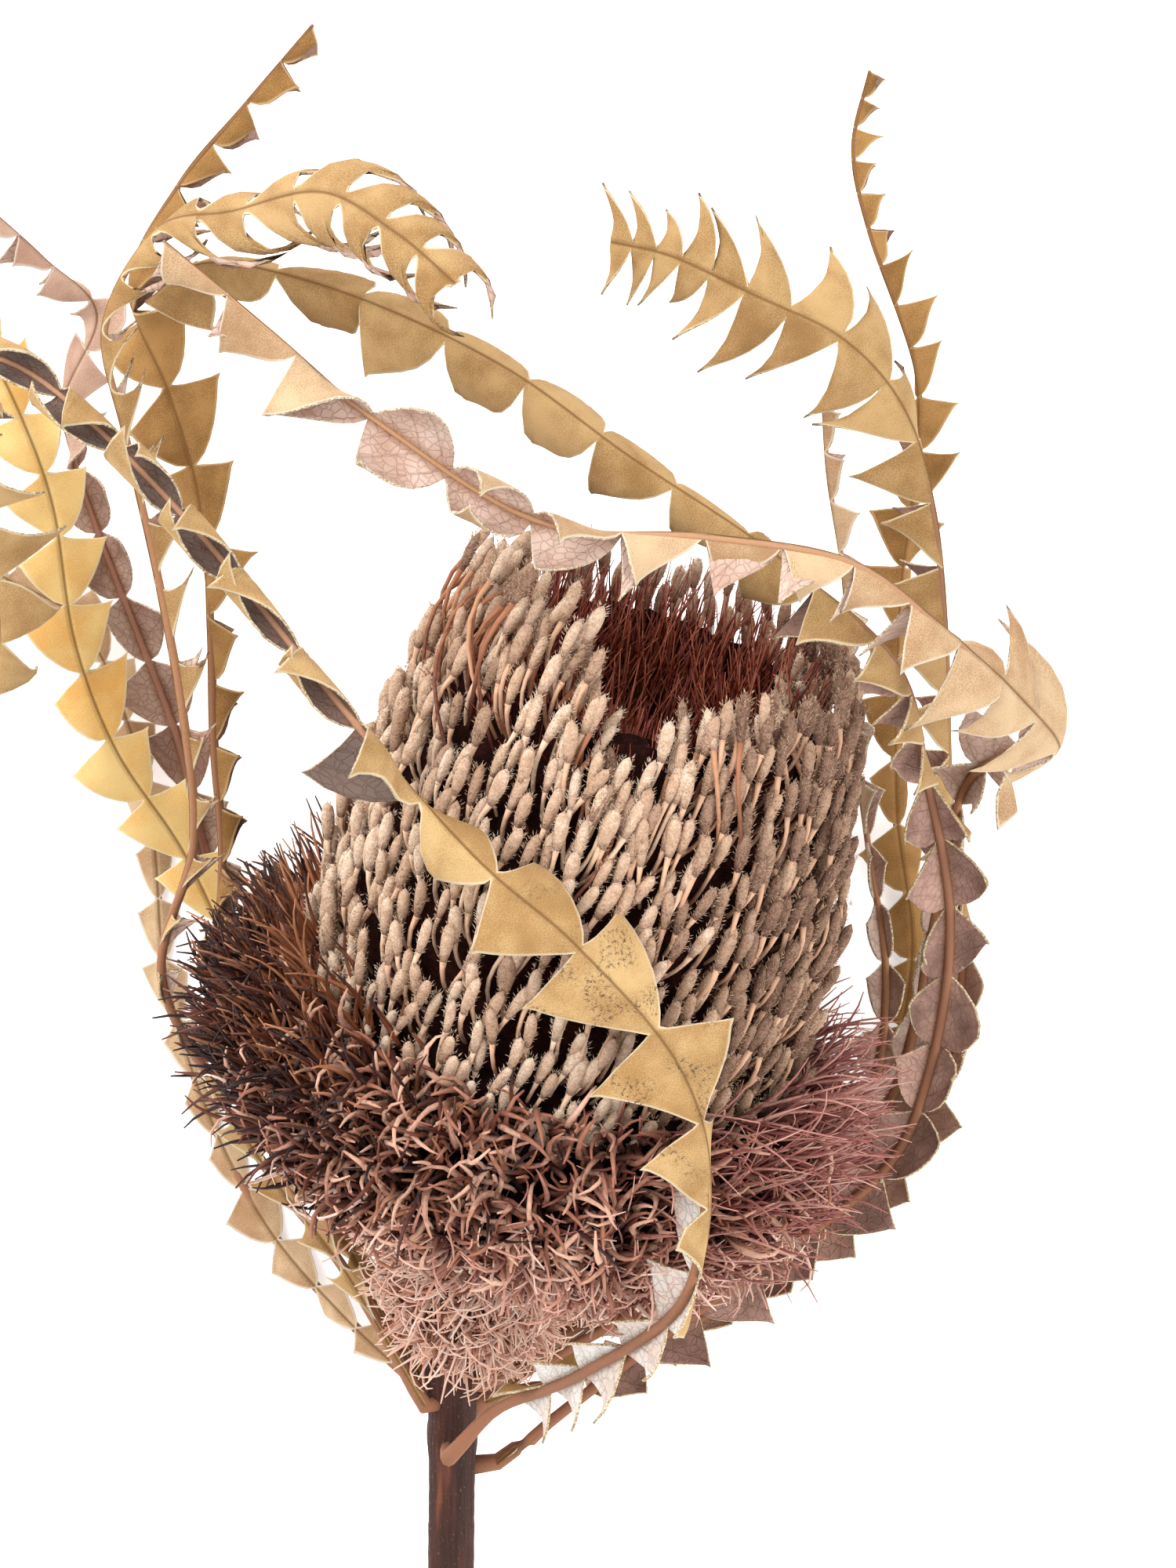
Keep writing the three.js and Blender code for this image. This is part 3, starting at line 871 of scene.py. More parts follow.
@dataclass
class FloretBarrel:
    """Rows of woolly florets on thin stalks, packed round the head like shingles.

    Heights and radii outline the barrel, and rim_rises lift or lower its top row at rim_angles,
    in degrees. Near the collar some stalks have lost their limbs: limb_chances says how many
    keep one at limb_heights. A limb's shape is its plumpness and hook, and a stalk's is its
    length, its reach inwards and its sway.
    """

    columns: int = 68
    rows: int = 18
    first_height: float = 50.0
    last_height: float = 146.0
    limb_length: float = 8.3
    limb_radius: float = 1.16
    hairs: int = 60
    hair_length: float = 0.85
    hair_radius: float = 0.085
    rim_count: int = 105
    seed: int = 11
    heights: Sequence[float] = (40, 50, 62, 76, 90, 104, 118, 132, 142, 147, 152)
    radii: Sequence[float] = (44, 44.5, 45.5, 47, 47.5, 46.5, 44.5, 42, 39, 36.5, 33)
    rim_angles: Sequence[float] = (0, 50, 72, 84, 98, 108, 150, 200, 360)
    rim_rises: Sequence[float] = (0, 0, -2, -13, -12, 7, 9, 0, 0)
    limb_heights: Sequence[float] = (42, 50, 60, 70)
    limb_chances: Sequence[float] = (0.25, 0.6, 0.9, 0.995)
    limb_shapes: Sequence[tuple[float, float]] = ((1.0, 0.3), (0.88, 0.9), (1.1, 0.1), (0.95, -0.3))
    stalk_shapes: Sequence[tuple[float, float, float]] = (
        (14, 8, 0.9), (16, 8, 2.0), (12, 7, 0.2), (18, 11, 3.4),
    )
    rim_stalk: tuple[float, float, float] = (24, 13, 2.6)

    def surface(self, height: np.ndarray) -> np.ndarray:
        """Radius of the outer surface at each height."""
        return np.interp(height, self.heights, self.radii)

    def rim_rise(self, angle: np.ndarray) -> np.ndarray:
        """How much higher or lower than usual the topmost florets stand at each angle."""
        degrees = np.degrees(angle) % 360.0
        return np.interp(degrees, self.rim_angles, self.rim_rises)

    def girth(self, share: np.ndarray) -> np.ndarray:
        """Radius of a limb at each share of its length, as a share of its greatest."""
        body = 0.6 + 0.4 * smooth(share / 0.55) - 0.12 * smooth((share - 0.6) / 0.4)
        return body * np.clip(4 * share * (1 - share), 0, 1) ** 0.21

    def limb(self, plump: float, hook: float) -> Pattern:
        """One woolly floret limb, blunt at its tip, narrow at its neck.

        Args:
            plump: share of the usual thickness.
            hook: how far its tip bends towards -X.

        Returns:
            The pattern.
        """
        bm = bmesh.new()
        bmesh.ops.create_uvsphere(bm, u_segments=7, v_segments=8, radius=1.0)
        rng = np.random.default_rng(self.seed)
        for vert in bm.verts:
            share = float(np.arccos(np.clip(-vert.co.z, -1, 1)) / np.pi)
            uneven = float(self.girth(np.array(share)) * (1 + rng.normal(0.0, 0.04)))
            swell = self.limb_radius * plump * uneven
            flat = max(float(np.hypot(vert.co.x, vert.co.y)), 1e-6)
            ring = swell / flat if flat > 1e-3 else 0.0
            vert.co.x = vert.co.x * ring - hook * share**2
            vert.co.y = vert.co.y * ring
            vert.co.z = share * self.limb_length
        return pattern_from(bm)

    def stalk(self, length: float, inward: float, sway: float) -> Pattern:
        """The stalk that hangs below a limb's neck and runs back into the head.

        Args:
            length: its length below the neck.
            inward: how far its root lies towards -X.
            sway: how far it bows towards +X on the way.

        Returns:
            The pattern.
        """
        share = np.linspace(0.0, 1.0, 7)
        x = -inward * (1 - share) ** 1.7 + sway * np.sin(np.pi * share)
        y = 0.15 * sway * np.sin(2 * np.pi * share)
        route = np.stack([x, y, -length * (1 - share) + 1.0], axis=-1)
        radii = 0.36 + 0.06 * share + 0.2 * share**12
        return pattern_from(tube_bmesh(route, radii, 5, np.tile(np.array([0.0, 1.0, 0.0]), (7, 1))))

    def places(self, head: HeadAxis) -> tuple[Scatter, np.ndarray]:
        """Works out where each floret sits.

        Args:
            head: the head's frame.

        Returns:
            The limbs' places, and the florets' heights.
        """
        rng = np.random.default_rng(self.seed)
        row, column = np.meshgrid(np.arange(self.rows), np.arange(self.columns), indexing="ij")
        row, column = row.ravel(), column.ravel()
        share = row / (self.rows - 1)
        step = 2 * np.pi / self.columns
        angle = (column + 0.5 * (row % 2)) * step + 0.25 * share
        angle = angle + rng.normal(0.0, 0.15 * step, row.size)
        clump = 0.5 * np.sin(9 * angle + 2.3 * row) + 0.5 * np.sin(23 * angle - 1.1 * row)
        height = self.first_height + (self.last_height - self.first_height) * share
        height = height - self.limb_length * 0.6
        topmost = smooth((share - 0.75) / 0.25)
        height = height + rng.normal(0.0, 1.6, row.size) + clump + self.rim_rise(angle) * topmost
        slope = (self.surface(height + 6.0) - self.surface(height - 2.0)) / 8.0
        radius = self.surface(height + 2.0) - 3.4 + rng.normal(0.0, 0.9, row.size)
        outward = head.outward(angle)
        around = np.cross(head.along, outward)
        lean = slope + rng.normal(0.2, 0.1, row.size)
        drift = rng.normal(0.06, 0.13, row.size) + 0.08 * clump
        direction = head.along + lean[:, None] * outward + drift[:, None] * around
        axes = axes_from(direction, outward, rng.normal(0.0, 0.2, row.size))
        scale = rng.normal(1.0, 0.07, row.size)
        axes = axes * scale[:, None, None]
        # Painted shade: shaded lowers the tone of florets on the +X side, away from the key light. That
        # darkens their wool and makes their hairs and stalks less pale. low lightens the lowest rows.
        shaded = smooth((np.cos(angle) - 0.15) / 0.7)
        low = 1.0 - smooth((height - 48.0) / 45.0)
        tones = 0.6 + rng.normal(0, 0.2, row.size) + 0.12 * clump - 0.62 * shaded + 0.3 * low
        tones = np.clip(tones, 0, 1)
        return Scatter(head.point(height, radius, angle), axes, tones), height

    def fuzz(self, name: str, places: Scatter, finish: bpy.types.Material, seed: int) -> None:
        """Stands short pale hairs all over some limbs.

        Args:
            name: the piece's name.
            places: the limbs' places.
            finish: the hairs' material.
            seed: for the hairs' small differences.
        """
        rng = np.random.default_rng(seed)
        count = len(places.origins)
        total = count * self.hairs
        share = np.clip(rng.random(total) ** 0.8, 0.04, 0.985)
        turn = rng.random(total) * 2 * np.pi
        radius = self.limb_radius * self.girth(share) * 0.93
        radial = np.stack([np.cos(turn), np.sin(turn), np.zeros(total)], axis=-1)
        upward = np.array([0.0, 0.0, 1.0])
        local = radial * radius[:, None] + upward * (share * self.limb_length)[:, None]
        local[:, 0] -= 0.4 * share**2
        spread = np.interp(share, (0, 0.8, 1.0), (0.9, 0.8, 0.5)) + rng.normal(0, 0.25, total)
        growth = radial * spread[:, None] + np.array([0.0, 0.0, 0.75])
        growth = growth + rng.normal(0.0, 0.15, (total, 3))
        axes = np.repeat(places.axes, self.hairs, axis=0)
        origins = np.repeat(places.origins, self.hairs, axis=0) + np.einsum("nij,nj->ni", axes, local)
        direction = np.einsum("nij,nj->ni", axes, growth)
        turned = axes_from(direction, axes[:, :, 0] + 0.01, rng.random(total) * 6.0)
        turned = turned * rng.uniform(0.7, 1.25, total)[:, None, None]
        bm = bmesh.new()
        bmesh.ops.create_cone(
            bm, cap_ends=True, segments=3, radius1=self.hair_radius, radius2=0.0,
            depth=self.hair_length,
        )
        bmesh.ops.translate(bm, verts=bm.verts, vec=(0, 0, self.hair_length / 2))
        tones = np.repeat(places.tones, self.hairs)
        mesh = placed_mesh(name, [pattern_from(bm)], [Scatter(origins, turned, tones)])
        add_piece(mesh, [finish])

    def build(self, head: HeadAxis) -> None:
        """Builds the limbs, their hairs and the stalks.

        Args:
            head: the head's frame.
        """
        places, height = self.places(head)
        rng = np.random.default_rng(self.seed + 1)
        count = len(height)
        has_limb = rng.random(count) < np.interp(height, self.limb_heights, self.limb_chances)
        kind = rng.integers(0, len(self.limb_shapes), count)
        limbs = [self.limb(plump, hook) for plump, hook in self.limb_shapes]
        sets = [places.where((kind == k) & has_limb) for k in range(len(limbs))]
        wool = WoolFinish("floret_wool", "ffe8d0", "dab396", "75564a").material()
        hair = StalkFinish("floret_hair", "d0a484", "ffe6c8", "fff0dc", 0.9).material()
        add_piece(placed_mesh("floret_limbs", limbs, sets), [wool])
        middle = float(np.median(height))
        for name, band in (("lower_fuzz", height < middle), ("upper_fuzz", height >= middle)):
            self.fuzz(name, places.where(band & has_limb), hair, self.seed + 5)
        stalks = [self.stalk(*shape) for shape in self.stalk_shapes]
        longest = len(stalks) - 1
        kind = np.where(height < 60, longest, rng.integers(0, longest, count))
        sets = [places.where(kind == k) for k in range(len(stalks))]
        tan = StalkFinish("floret_stalks", "74402c", "ecbc9a", "fcdcbe").material()
        add_piece(placed_mesh("floret_stalks", stalks, sets), [tan])
        self._rim(head, wool, hair)

    def _rim(self, head: HeadAxis, wool: bpy.types.Material, hair: bpy.types.Material) -> None:
        """Adds the sparse limbs that lean into the hollow crown.

        Args:
            head: the head's frame.
            wool: the limbs' material.
            hair: their hairs' material.
        """
        rng = np.random.default_rng(self.seed + 2)
        count = self.rim_count
        angle = np.radians(rng.uniform(-40.0, 215.0, count))
        radius = rng.uniform(24.0, 37.0, count)
        height = 143.0 - (36.0 - radius) * 0.9 + rng.uniform(-4.0, 3.0, count) + self.rim_rise(angle)
        outward = head.outward(angle)
        around = np.cross(head.along, outward)
        lean = rng.uniform(-0.1, 0.7, count)[:, None] * outward
        direction = head.along - lean + rng.normal(0, 0.25, count)[:, None] * around
        axes = axes_from(direction, outward, rng.normal(0.0, 0.4, count))
        places = Scatter(head.point(height, radius, angle), axes, rng.random(count))
        add_piece(placed_mesh("rim_limbs", [self.limb(0.85, 0.8)], [places]), [wool])
        self.fuzz("rim_fuzz", places, hair, self.seed + 6)
        tan = StalkFinish("rim_stalks", "5a2419", "b97a58", "d8a27c").material()
        stalk = self.stalk(*self.rim_stalk)
        add_piece(placed_mesh("rim_stalks", [stalk], [places]), [tan])


@dataclass
class CrownStyles:
    """The fine dark red styles that stand in the hollow crown.

    Some line the far side of the hollow, some fill the rim's notch on the near side, and the
    rest spray out of the middle. Each kind has its length, thickness and turn in degrees.
    """

    kinds: Sequence[tuple[float, float, float]] = ((25, 0.34, 14), (20, 0.32, 30), (28, 0.33, -10))
    count: int = 2600
    far_share: float = 0.3
    near_share: float = 0.1
    seed: int = 23

    def build(self, head: HeadAxis) -> None:
        """Builds the styles.

        Args:
            head: the head's frame.
        """
        rng = np.random.default_rng(self.seed)
        angle = rng.random(self.count) * 2 * np.pi
        radius = 19.0 * np.sqrt(rng.random(self.count)) + 1.0
        pick = rng.random(self.count)
        far = pick < self.far_share
        near = ~far & (pick < self.far_share + self.near_share)
        angle = np.where(far, np.radians(270.0 + rng.uniform(-85.0, 85.0, self.count)), angle)
        angle = np.where(near, np.radians(92.0 + rng.uniform(-26.0, 24.0, self.count)), angle)
        radius = np.where(far, rng.uniform(17.0, 29.0, self.count), radius)
        radius = np.where(near, rng.uniform(22.0, 31.0, self.count), radius)
        height = np.interp(radius, (0, 12, 20, 31), (108, 112, 119, 127))
        height = height - rng.uniform(0, 4, self.count)
        height = np.where(near, rng.uniform(108.0, 114.0, self.count), height)
        outward = head.outward(angle)
        around = np.cross(head.along, outward)
        loose = np.where(near, 0.08, 0.2)
        lean = np.where(far | near, 0.0, radius / 20.0 * 0.9) + rng.normal(0.0, 1.0, self.count) * loose
        swing = rng.normal(0.0, 1.0, self.count) * loose
        direction = head.along + lean[:, None] * outward + swing[:, None] * around
        axes = axes_from(direction, -outward, rng.normal(0.0, 0.8, self.count))
        kind = rng.integers(0, len(self.kinds), self.count)
        patterns = [strand_pattern(*style, sides=3, rings=5) for style in self.kinds]
        places = Scatter(head.point(height, radius, angle), axes, rng.random(self.count))
        sets = [places.where(kind == k) for k in range(len(patterns))]
        red = StalkFinish("dark_styles", "180605", "7c2c1c", "bc6a4e", 0.4).material()
        add_piece(placed_mesh("crown_style_tuft", patterns, sets), [red])


@dataclass
class StrandFamily:
    """One kind of strand in the collar and how it grows out of it.

    Heights, depth, lengths and thickness are in mm. A side is a middle angle and a spread, and
    turns are how far strands curl, both in degrees.
    """

    name: str
    finish: StalkFinish
    seed: int
    count: int
    heights: tuple[float, float]
    side: tuple[float, float]
    depth: float
    outward: float
    upward: float
    scatter: float
    lengths: tuple[float, float]
    thickness: float
    turns: tuple[float, float]


@dataclass
class SpentFlorets:
    """The collar of tangled strands that hangs round the head's base."""

    heights: Sequence[float] = (-2, 2, 6, 15, 25, 31, 36, 45, 56, 66, 76)
    radii: Sequence[float] = (5, 6, 9, 13, 18, 25, 38, 50, 54.5, 52, 47.5)
    spread: float = 1.05

    def families(self) -> list[StrandFamily]:
        """The kinds of strand. Their sides are measured from +X."""
        dark = StalkFinish("dark_strands", "260e0c", "7a3e32", "c48468", 0.75)
        spike = StalkFinish("spike_strands", "b0663f", "2b1210", "c98660", 0.6)
        rosy = StalkFinish("rosy_strands", "68282a", "b06a62", "eab4a4", 0.55)
        pale = StalkFinish("pale_strands", "cc7f66", "ffd0b8", "ffe4d4", 0.6)
        claw = StalkFinish("claw_strands", "421a14", "b0735c", "f0bea4", 0.75)
        black = StalkFinish("black_strands", "4a211b", "241010", "804838", 0.6)
        pink = StalkFinish("pink_strands", "8c4c40", "dca08c", "ffdccb", 0.6)
        return [
            StrandFamily(
                "collar_tangle", dark, seed=31, count=1500, heights=(30, 70), side=(0, 400),
                depth=6.5, outward=0.5, upward=0.1, scatter=0.9,
                lengths=(9, 16), thickness=0.6, turns=(90, 240),
            ),
            StrandFamily(
                "collar_neck", dark, seed=38, count=500, heights=(4, 32), side=(0, 400),
                depth=3.0, outward=0.8, upward=-0.1, scatter=0.7,
                lengths=(8, 13), thickness=0.5, turns=(60, 240),
            ),
            StrandFamily(
                "collar_spikes", spike, seed=32, count=900, heights=(40, 76), side=(172, 34),
                depth=6.0, outward=0.8, upward=0.85, scatter=0.25,
                lengths=(13, 19), thickness=0.5, turns=(-30, 40),
            ),
            StrandFamily(
                "collar_dark_side", black, seed=36, count=1100, heights=(33, 70), side=(165, 34),
                depth=5.0, outward=0.9, upward=0.45, scatter=0.4,
                lengths=(10, 17), thickness=0.55, turns=(-50, 60),
            ),
            StrandFamily(
                "collar_rosy", rosy, seed=33, count=1000, heights=(34, 74), side=(8, 34),
                depth=5.5, outward=0.85, upward=0.6, scatter=0.3,
                lengths=(12, 20), thickness=0.34, turns=(-50, 50),
            ),
            StrandFamily(
                "collar_beard", pale, seed=34, count=1200, heights=(3, 31), side=(60, 75),
                depth=2.5, outward=0.8, upward=-0.3, scatter=0.45,
                lengths=(8, 14), thickness=0.38, turns=(-100, 120),
            ),
            StrandFamily(
                "collar_claws", claw, seed=35, count=520, heights=(44, 73), side=(92, 34),
                depth=3.0, outward=0.7, upward=0.4, scatter=0.7,
                lengths=(8, 14), thickness=0.72, turns=(40, 170),
            ),
            StrandFamily(
                "collar_pink_curls", pink, seed=37, count=800, heights=(28, 50), side=(65, 34),
                depth=3.5, outward=0.8, upward=0.1, scatter=0.5,
                lengths=(9, 16), thickness=0.42, turns=(30, 150),
            ),
        ]

    def build(self, head: HeadAxis) -> None:
        """Builds every family of strands.

        Args:
            head: the head's frame.
        """
        for family in self.families():
            self._grow(head, family)

    def _grow(self, head: HeadAxis, family: StrandFamily) -> None:
        """Grows one family out of the collar's surface.

        Args:
            head: the head's frame.
            family: the strands to grow.
        """
        rng = np.random.default_rng(family.seed)
        count = family.count
        middle, spread = family.side
        angle = np.radians(middle + spread * rng.normal(0.0, 1.0, count))
        height = rng.uniform(*family.heights, count)
        radius = np.interp(height, self.heights, self.radii) - family.depth
        radius = np.maximum(radius, 3.0) + rng.uniform(-1.5, 1.0, count)
        outward = head.outward(angle)
        around = np.cross(head.along, outward)
        mess = family.scatter * rng.normal(0.0, 1.0, (count, 3))
        direction = (
            family.outward * outward
            + (family.upward + mess[:, :1]) * head.along
            + mess[:, 1:2] * around
            + 0.3 * mess[:, 2:] * outward
        )
        axes = axes_from(direction, outward + 0.3 * head.along, rng.normal(0.0, 1.2, count))
        axes = axes * rng.uniform(0.8, 1.15, count)[:, None, None]
        places = Scatter(self.base_points(head, height, radius, angle), axes, rng.random(count))
        shares = (0.0, 0.5, 1.0)
        patterns = [
            strand_pattern(
                float(np.interp(s, (0, 1), family.lengths)), family.thickness,
                float(np.interp(s, (0, 1), family.turns)), 4, 7, 60.0 * (s - 0.3),
            )
            for s in shares
        ]
        kind = rng.integers(0, len(shares), count)
        sets = [places.where(kind == k) for k in range(len(shares))]
        add_piece(placed_mesh(family.name, patterns, sets), [family.finish.material()])

    def base_points(
        self, head: HeadAxis, height: np.ndarray, radius: np.ndarray, angle: np.ndarray
    ) -> np.ndarray:
        """Roots of strands on the collar, which is wider along the surface than it is high."""
        across = (radius * np.cos(angle) * self.spread)[:, None] * head.sideways
        up = (radius * np.sin(angle))[:, None] * head.upright
        return head.base + height[:, None] * head.along + across + up


# ---------------------------------------------------------------------------------------
# Stem
# ---------------------------------------------------------------------------------------


@dataclass
class Stem:
    """The dark woody stem, with swollen leaf joints and a plain cut end.

    Past the head's base it runs on inside the head. Each joint has its share of the length,
    its spread and how far it swells.
    """

    sides: int = 28
    rings: int = 60
    seed: int = 5
    last_share: float = 1.22
    inner_scale: float = 75.0
    joints: Sequence[tuple[float, float, float]] = ((0.93, 0.05, 0.55), (0.76, 0.04, 0.45))

    def centre(self, share: np.ndarray) -> np.ndarray:
        """Points of the stem's middle line, from the cut end (0) to the head (1)."""
        return STEM_END + (HEAD_BASE - STEM_END) * share[:, None]

    def build(self, head: HeadAxis) -> None:
        """Builds the stem, with knobs where leaves join it and an inset cut face.

        Args:
            head: the head's frame.
        """
        share = np.linspace(0.0, self.last_share, self.rings)
        route = self.centre(share)
        beyond = share > 1.0
        route[beyond] = HEAD_BASE + head.along * ((share[beyond] - 1.0) * self.inner_scale)[:, None]
        rng = np.random.default_rng(self.seed)
        knobs = sum(swell * np.exp(-(((share - at) / wide) ** 2)) for at, wide, swell in self.joints)
        radii = STEM_RADIUS + knobs + rng.normal(0.0, 0.05, self.rings)
        bm = tube_bmesh(route, radii, self.sides, np.tile(np.array([1.0, 0.0, 0.0]), (self.rings, 1)))
        bm.normal_update()
        lengths = np.cumsum(np.concatenate([[0], np.linalg.norm(np.diff(route, axis=0), axis=1)]))
        layer = bm.verts.layers.float.get("along")
        across, along = [], []
        for vert in bm.verts:
            station = int(round(vert[layer] * (self.rings - 1)))
            offset = np.array(vert.co) - route[station]
            angle = float(np.arctan2(offset[2], offset[0]))
            ridge = 0.16 * np.sin(5 * angle + 0.05 * station)
            ridge = ridge + 0.1 * np.sin(11 * angle - 0.09 * station)
            vert.co = Vector(route[station] + offset * (1.0 + ridge / STEM_RADIUS))
            vert.co.z = max(vert.co.z, SURFACE_CLEARANCE)
            across.append(angle * STEM_RADIUS)
            along.append(lengths[station])
        ends = [f for f in bm.faces if len(f.verts) > 4]
        cut = min(ends, key=lambda f: f.calc_center_median().y)
        bmesh.ops.inset_region(bm, faces=[cut], thickness=0.35, depth=-0.1)
        cut.material_index = 1
        mesh = bmesh_to_mesh("stem_wood", bm)
        spare = len(mesh.vertices) - len(across)
        write_attribute(mesh, "across_mm", np.array(across + [0.0] * spare))
        write_attribute(mesh, "along_mm", np.array(along + [0.0] * spare))
        add_piece(mesh, [BarkFinish().material(), CutWood().material()], "stem")


# ---------------------------------------------------------------------------------------
# Leaves
# ---------------------------------------------------------------------------------------


@dataclass
class Course:
    """A leaf's route: rows of x, y, z, its upper side's facing, its fold, curl, width and pitch."""

    rows: Sequence[Row]
    samples: int = 900

    def _curve(self, table: np.ndarray) -> np.ndarray:
        """Passes a smooth curve through the rows of a table."""
        ends = np.vstack([2 * table[0] - table[1], table, 2 * table[-1] - table[-2]])
        t = np.linspace(0, len(table) - 1, self.samples)
        i = np.minimum(t.astype(int), len(table) - 2)
        u = (t - i)[:, None]
        a, b, c, d = ends[i], ends[i + 1], ends[i + 2], ends[i + 3]
        square, cube = 2 * a - 5 * b + 4 * c - d, 3 * b - a - 3 * c + d
        return 0.5 * (2 * b + (c - a) * u + square * u**2 + cube * u**3)

    def sample(self) -> dict[str, np.ndarray]:
        """Samples the route finely.

        Returns:
            Arrays by name: length so far, place, tangent, facing, side, fold and curl in degrees,
            and the half width and pitch of the lobes.
        """
        every = self._curve(np.array(self.rows, dtype=float))
        place = every[:, :3]
        step = np.linalg.norm(np.diff(place, axis=0), axis=1)
        tangent = unit(np.gradient(place, axis=0))
        facing = every[:, 3:6]
        facing = unit(facing - tangent * (facing * tangent).sum(-1, keepdims=True))
        return {
            "length": np.concatenate([[0.0], np.cumsum(step)]),
            "place": place,
            "tangent": tangent,
            "facing": facing,
            "side": np.cross(tangent, facing),
            "fold": every[:, 6:7],
            "curl": every[:, 7:8],
            "width": every[:, 8:9],
            "pitch": every[:, 9:10],
        }


@dataclass
class Stations:
    """Cross lines of a leaf's blade, from its foot to its tip.

    Each has its share of the leaf's length, its lobe's number (-1 below the first), and how far
    through that lobe it is.
    """

    share: np.ndarray
    number: np.ndarray
    through: np.ndarray


@dataclass(frozen=True)
class LobeVariety:
    """How much lobes differ from each other: middle values and spreads, or a spread alone.

    Sizes and leads are shares of the width, curls are in degrees, and tilts are slopes.
    """

    size: tuple[float, float] = (0.98, 0.1)
    curl: tuple[float, float] = (24.0, 24.0)
    tilt_spread: float = 0.32
    lead: tuple[float, float] = (0.08, 0.16)


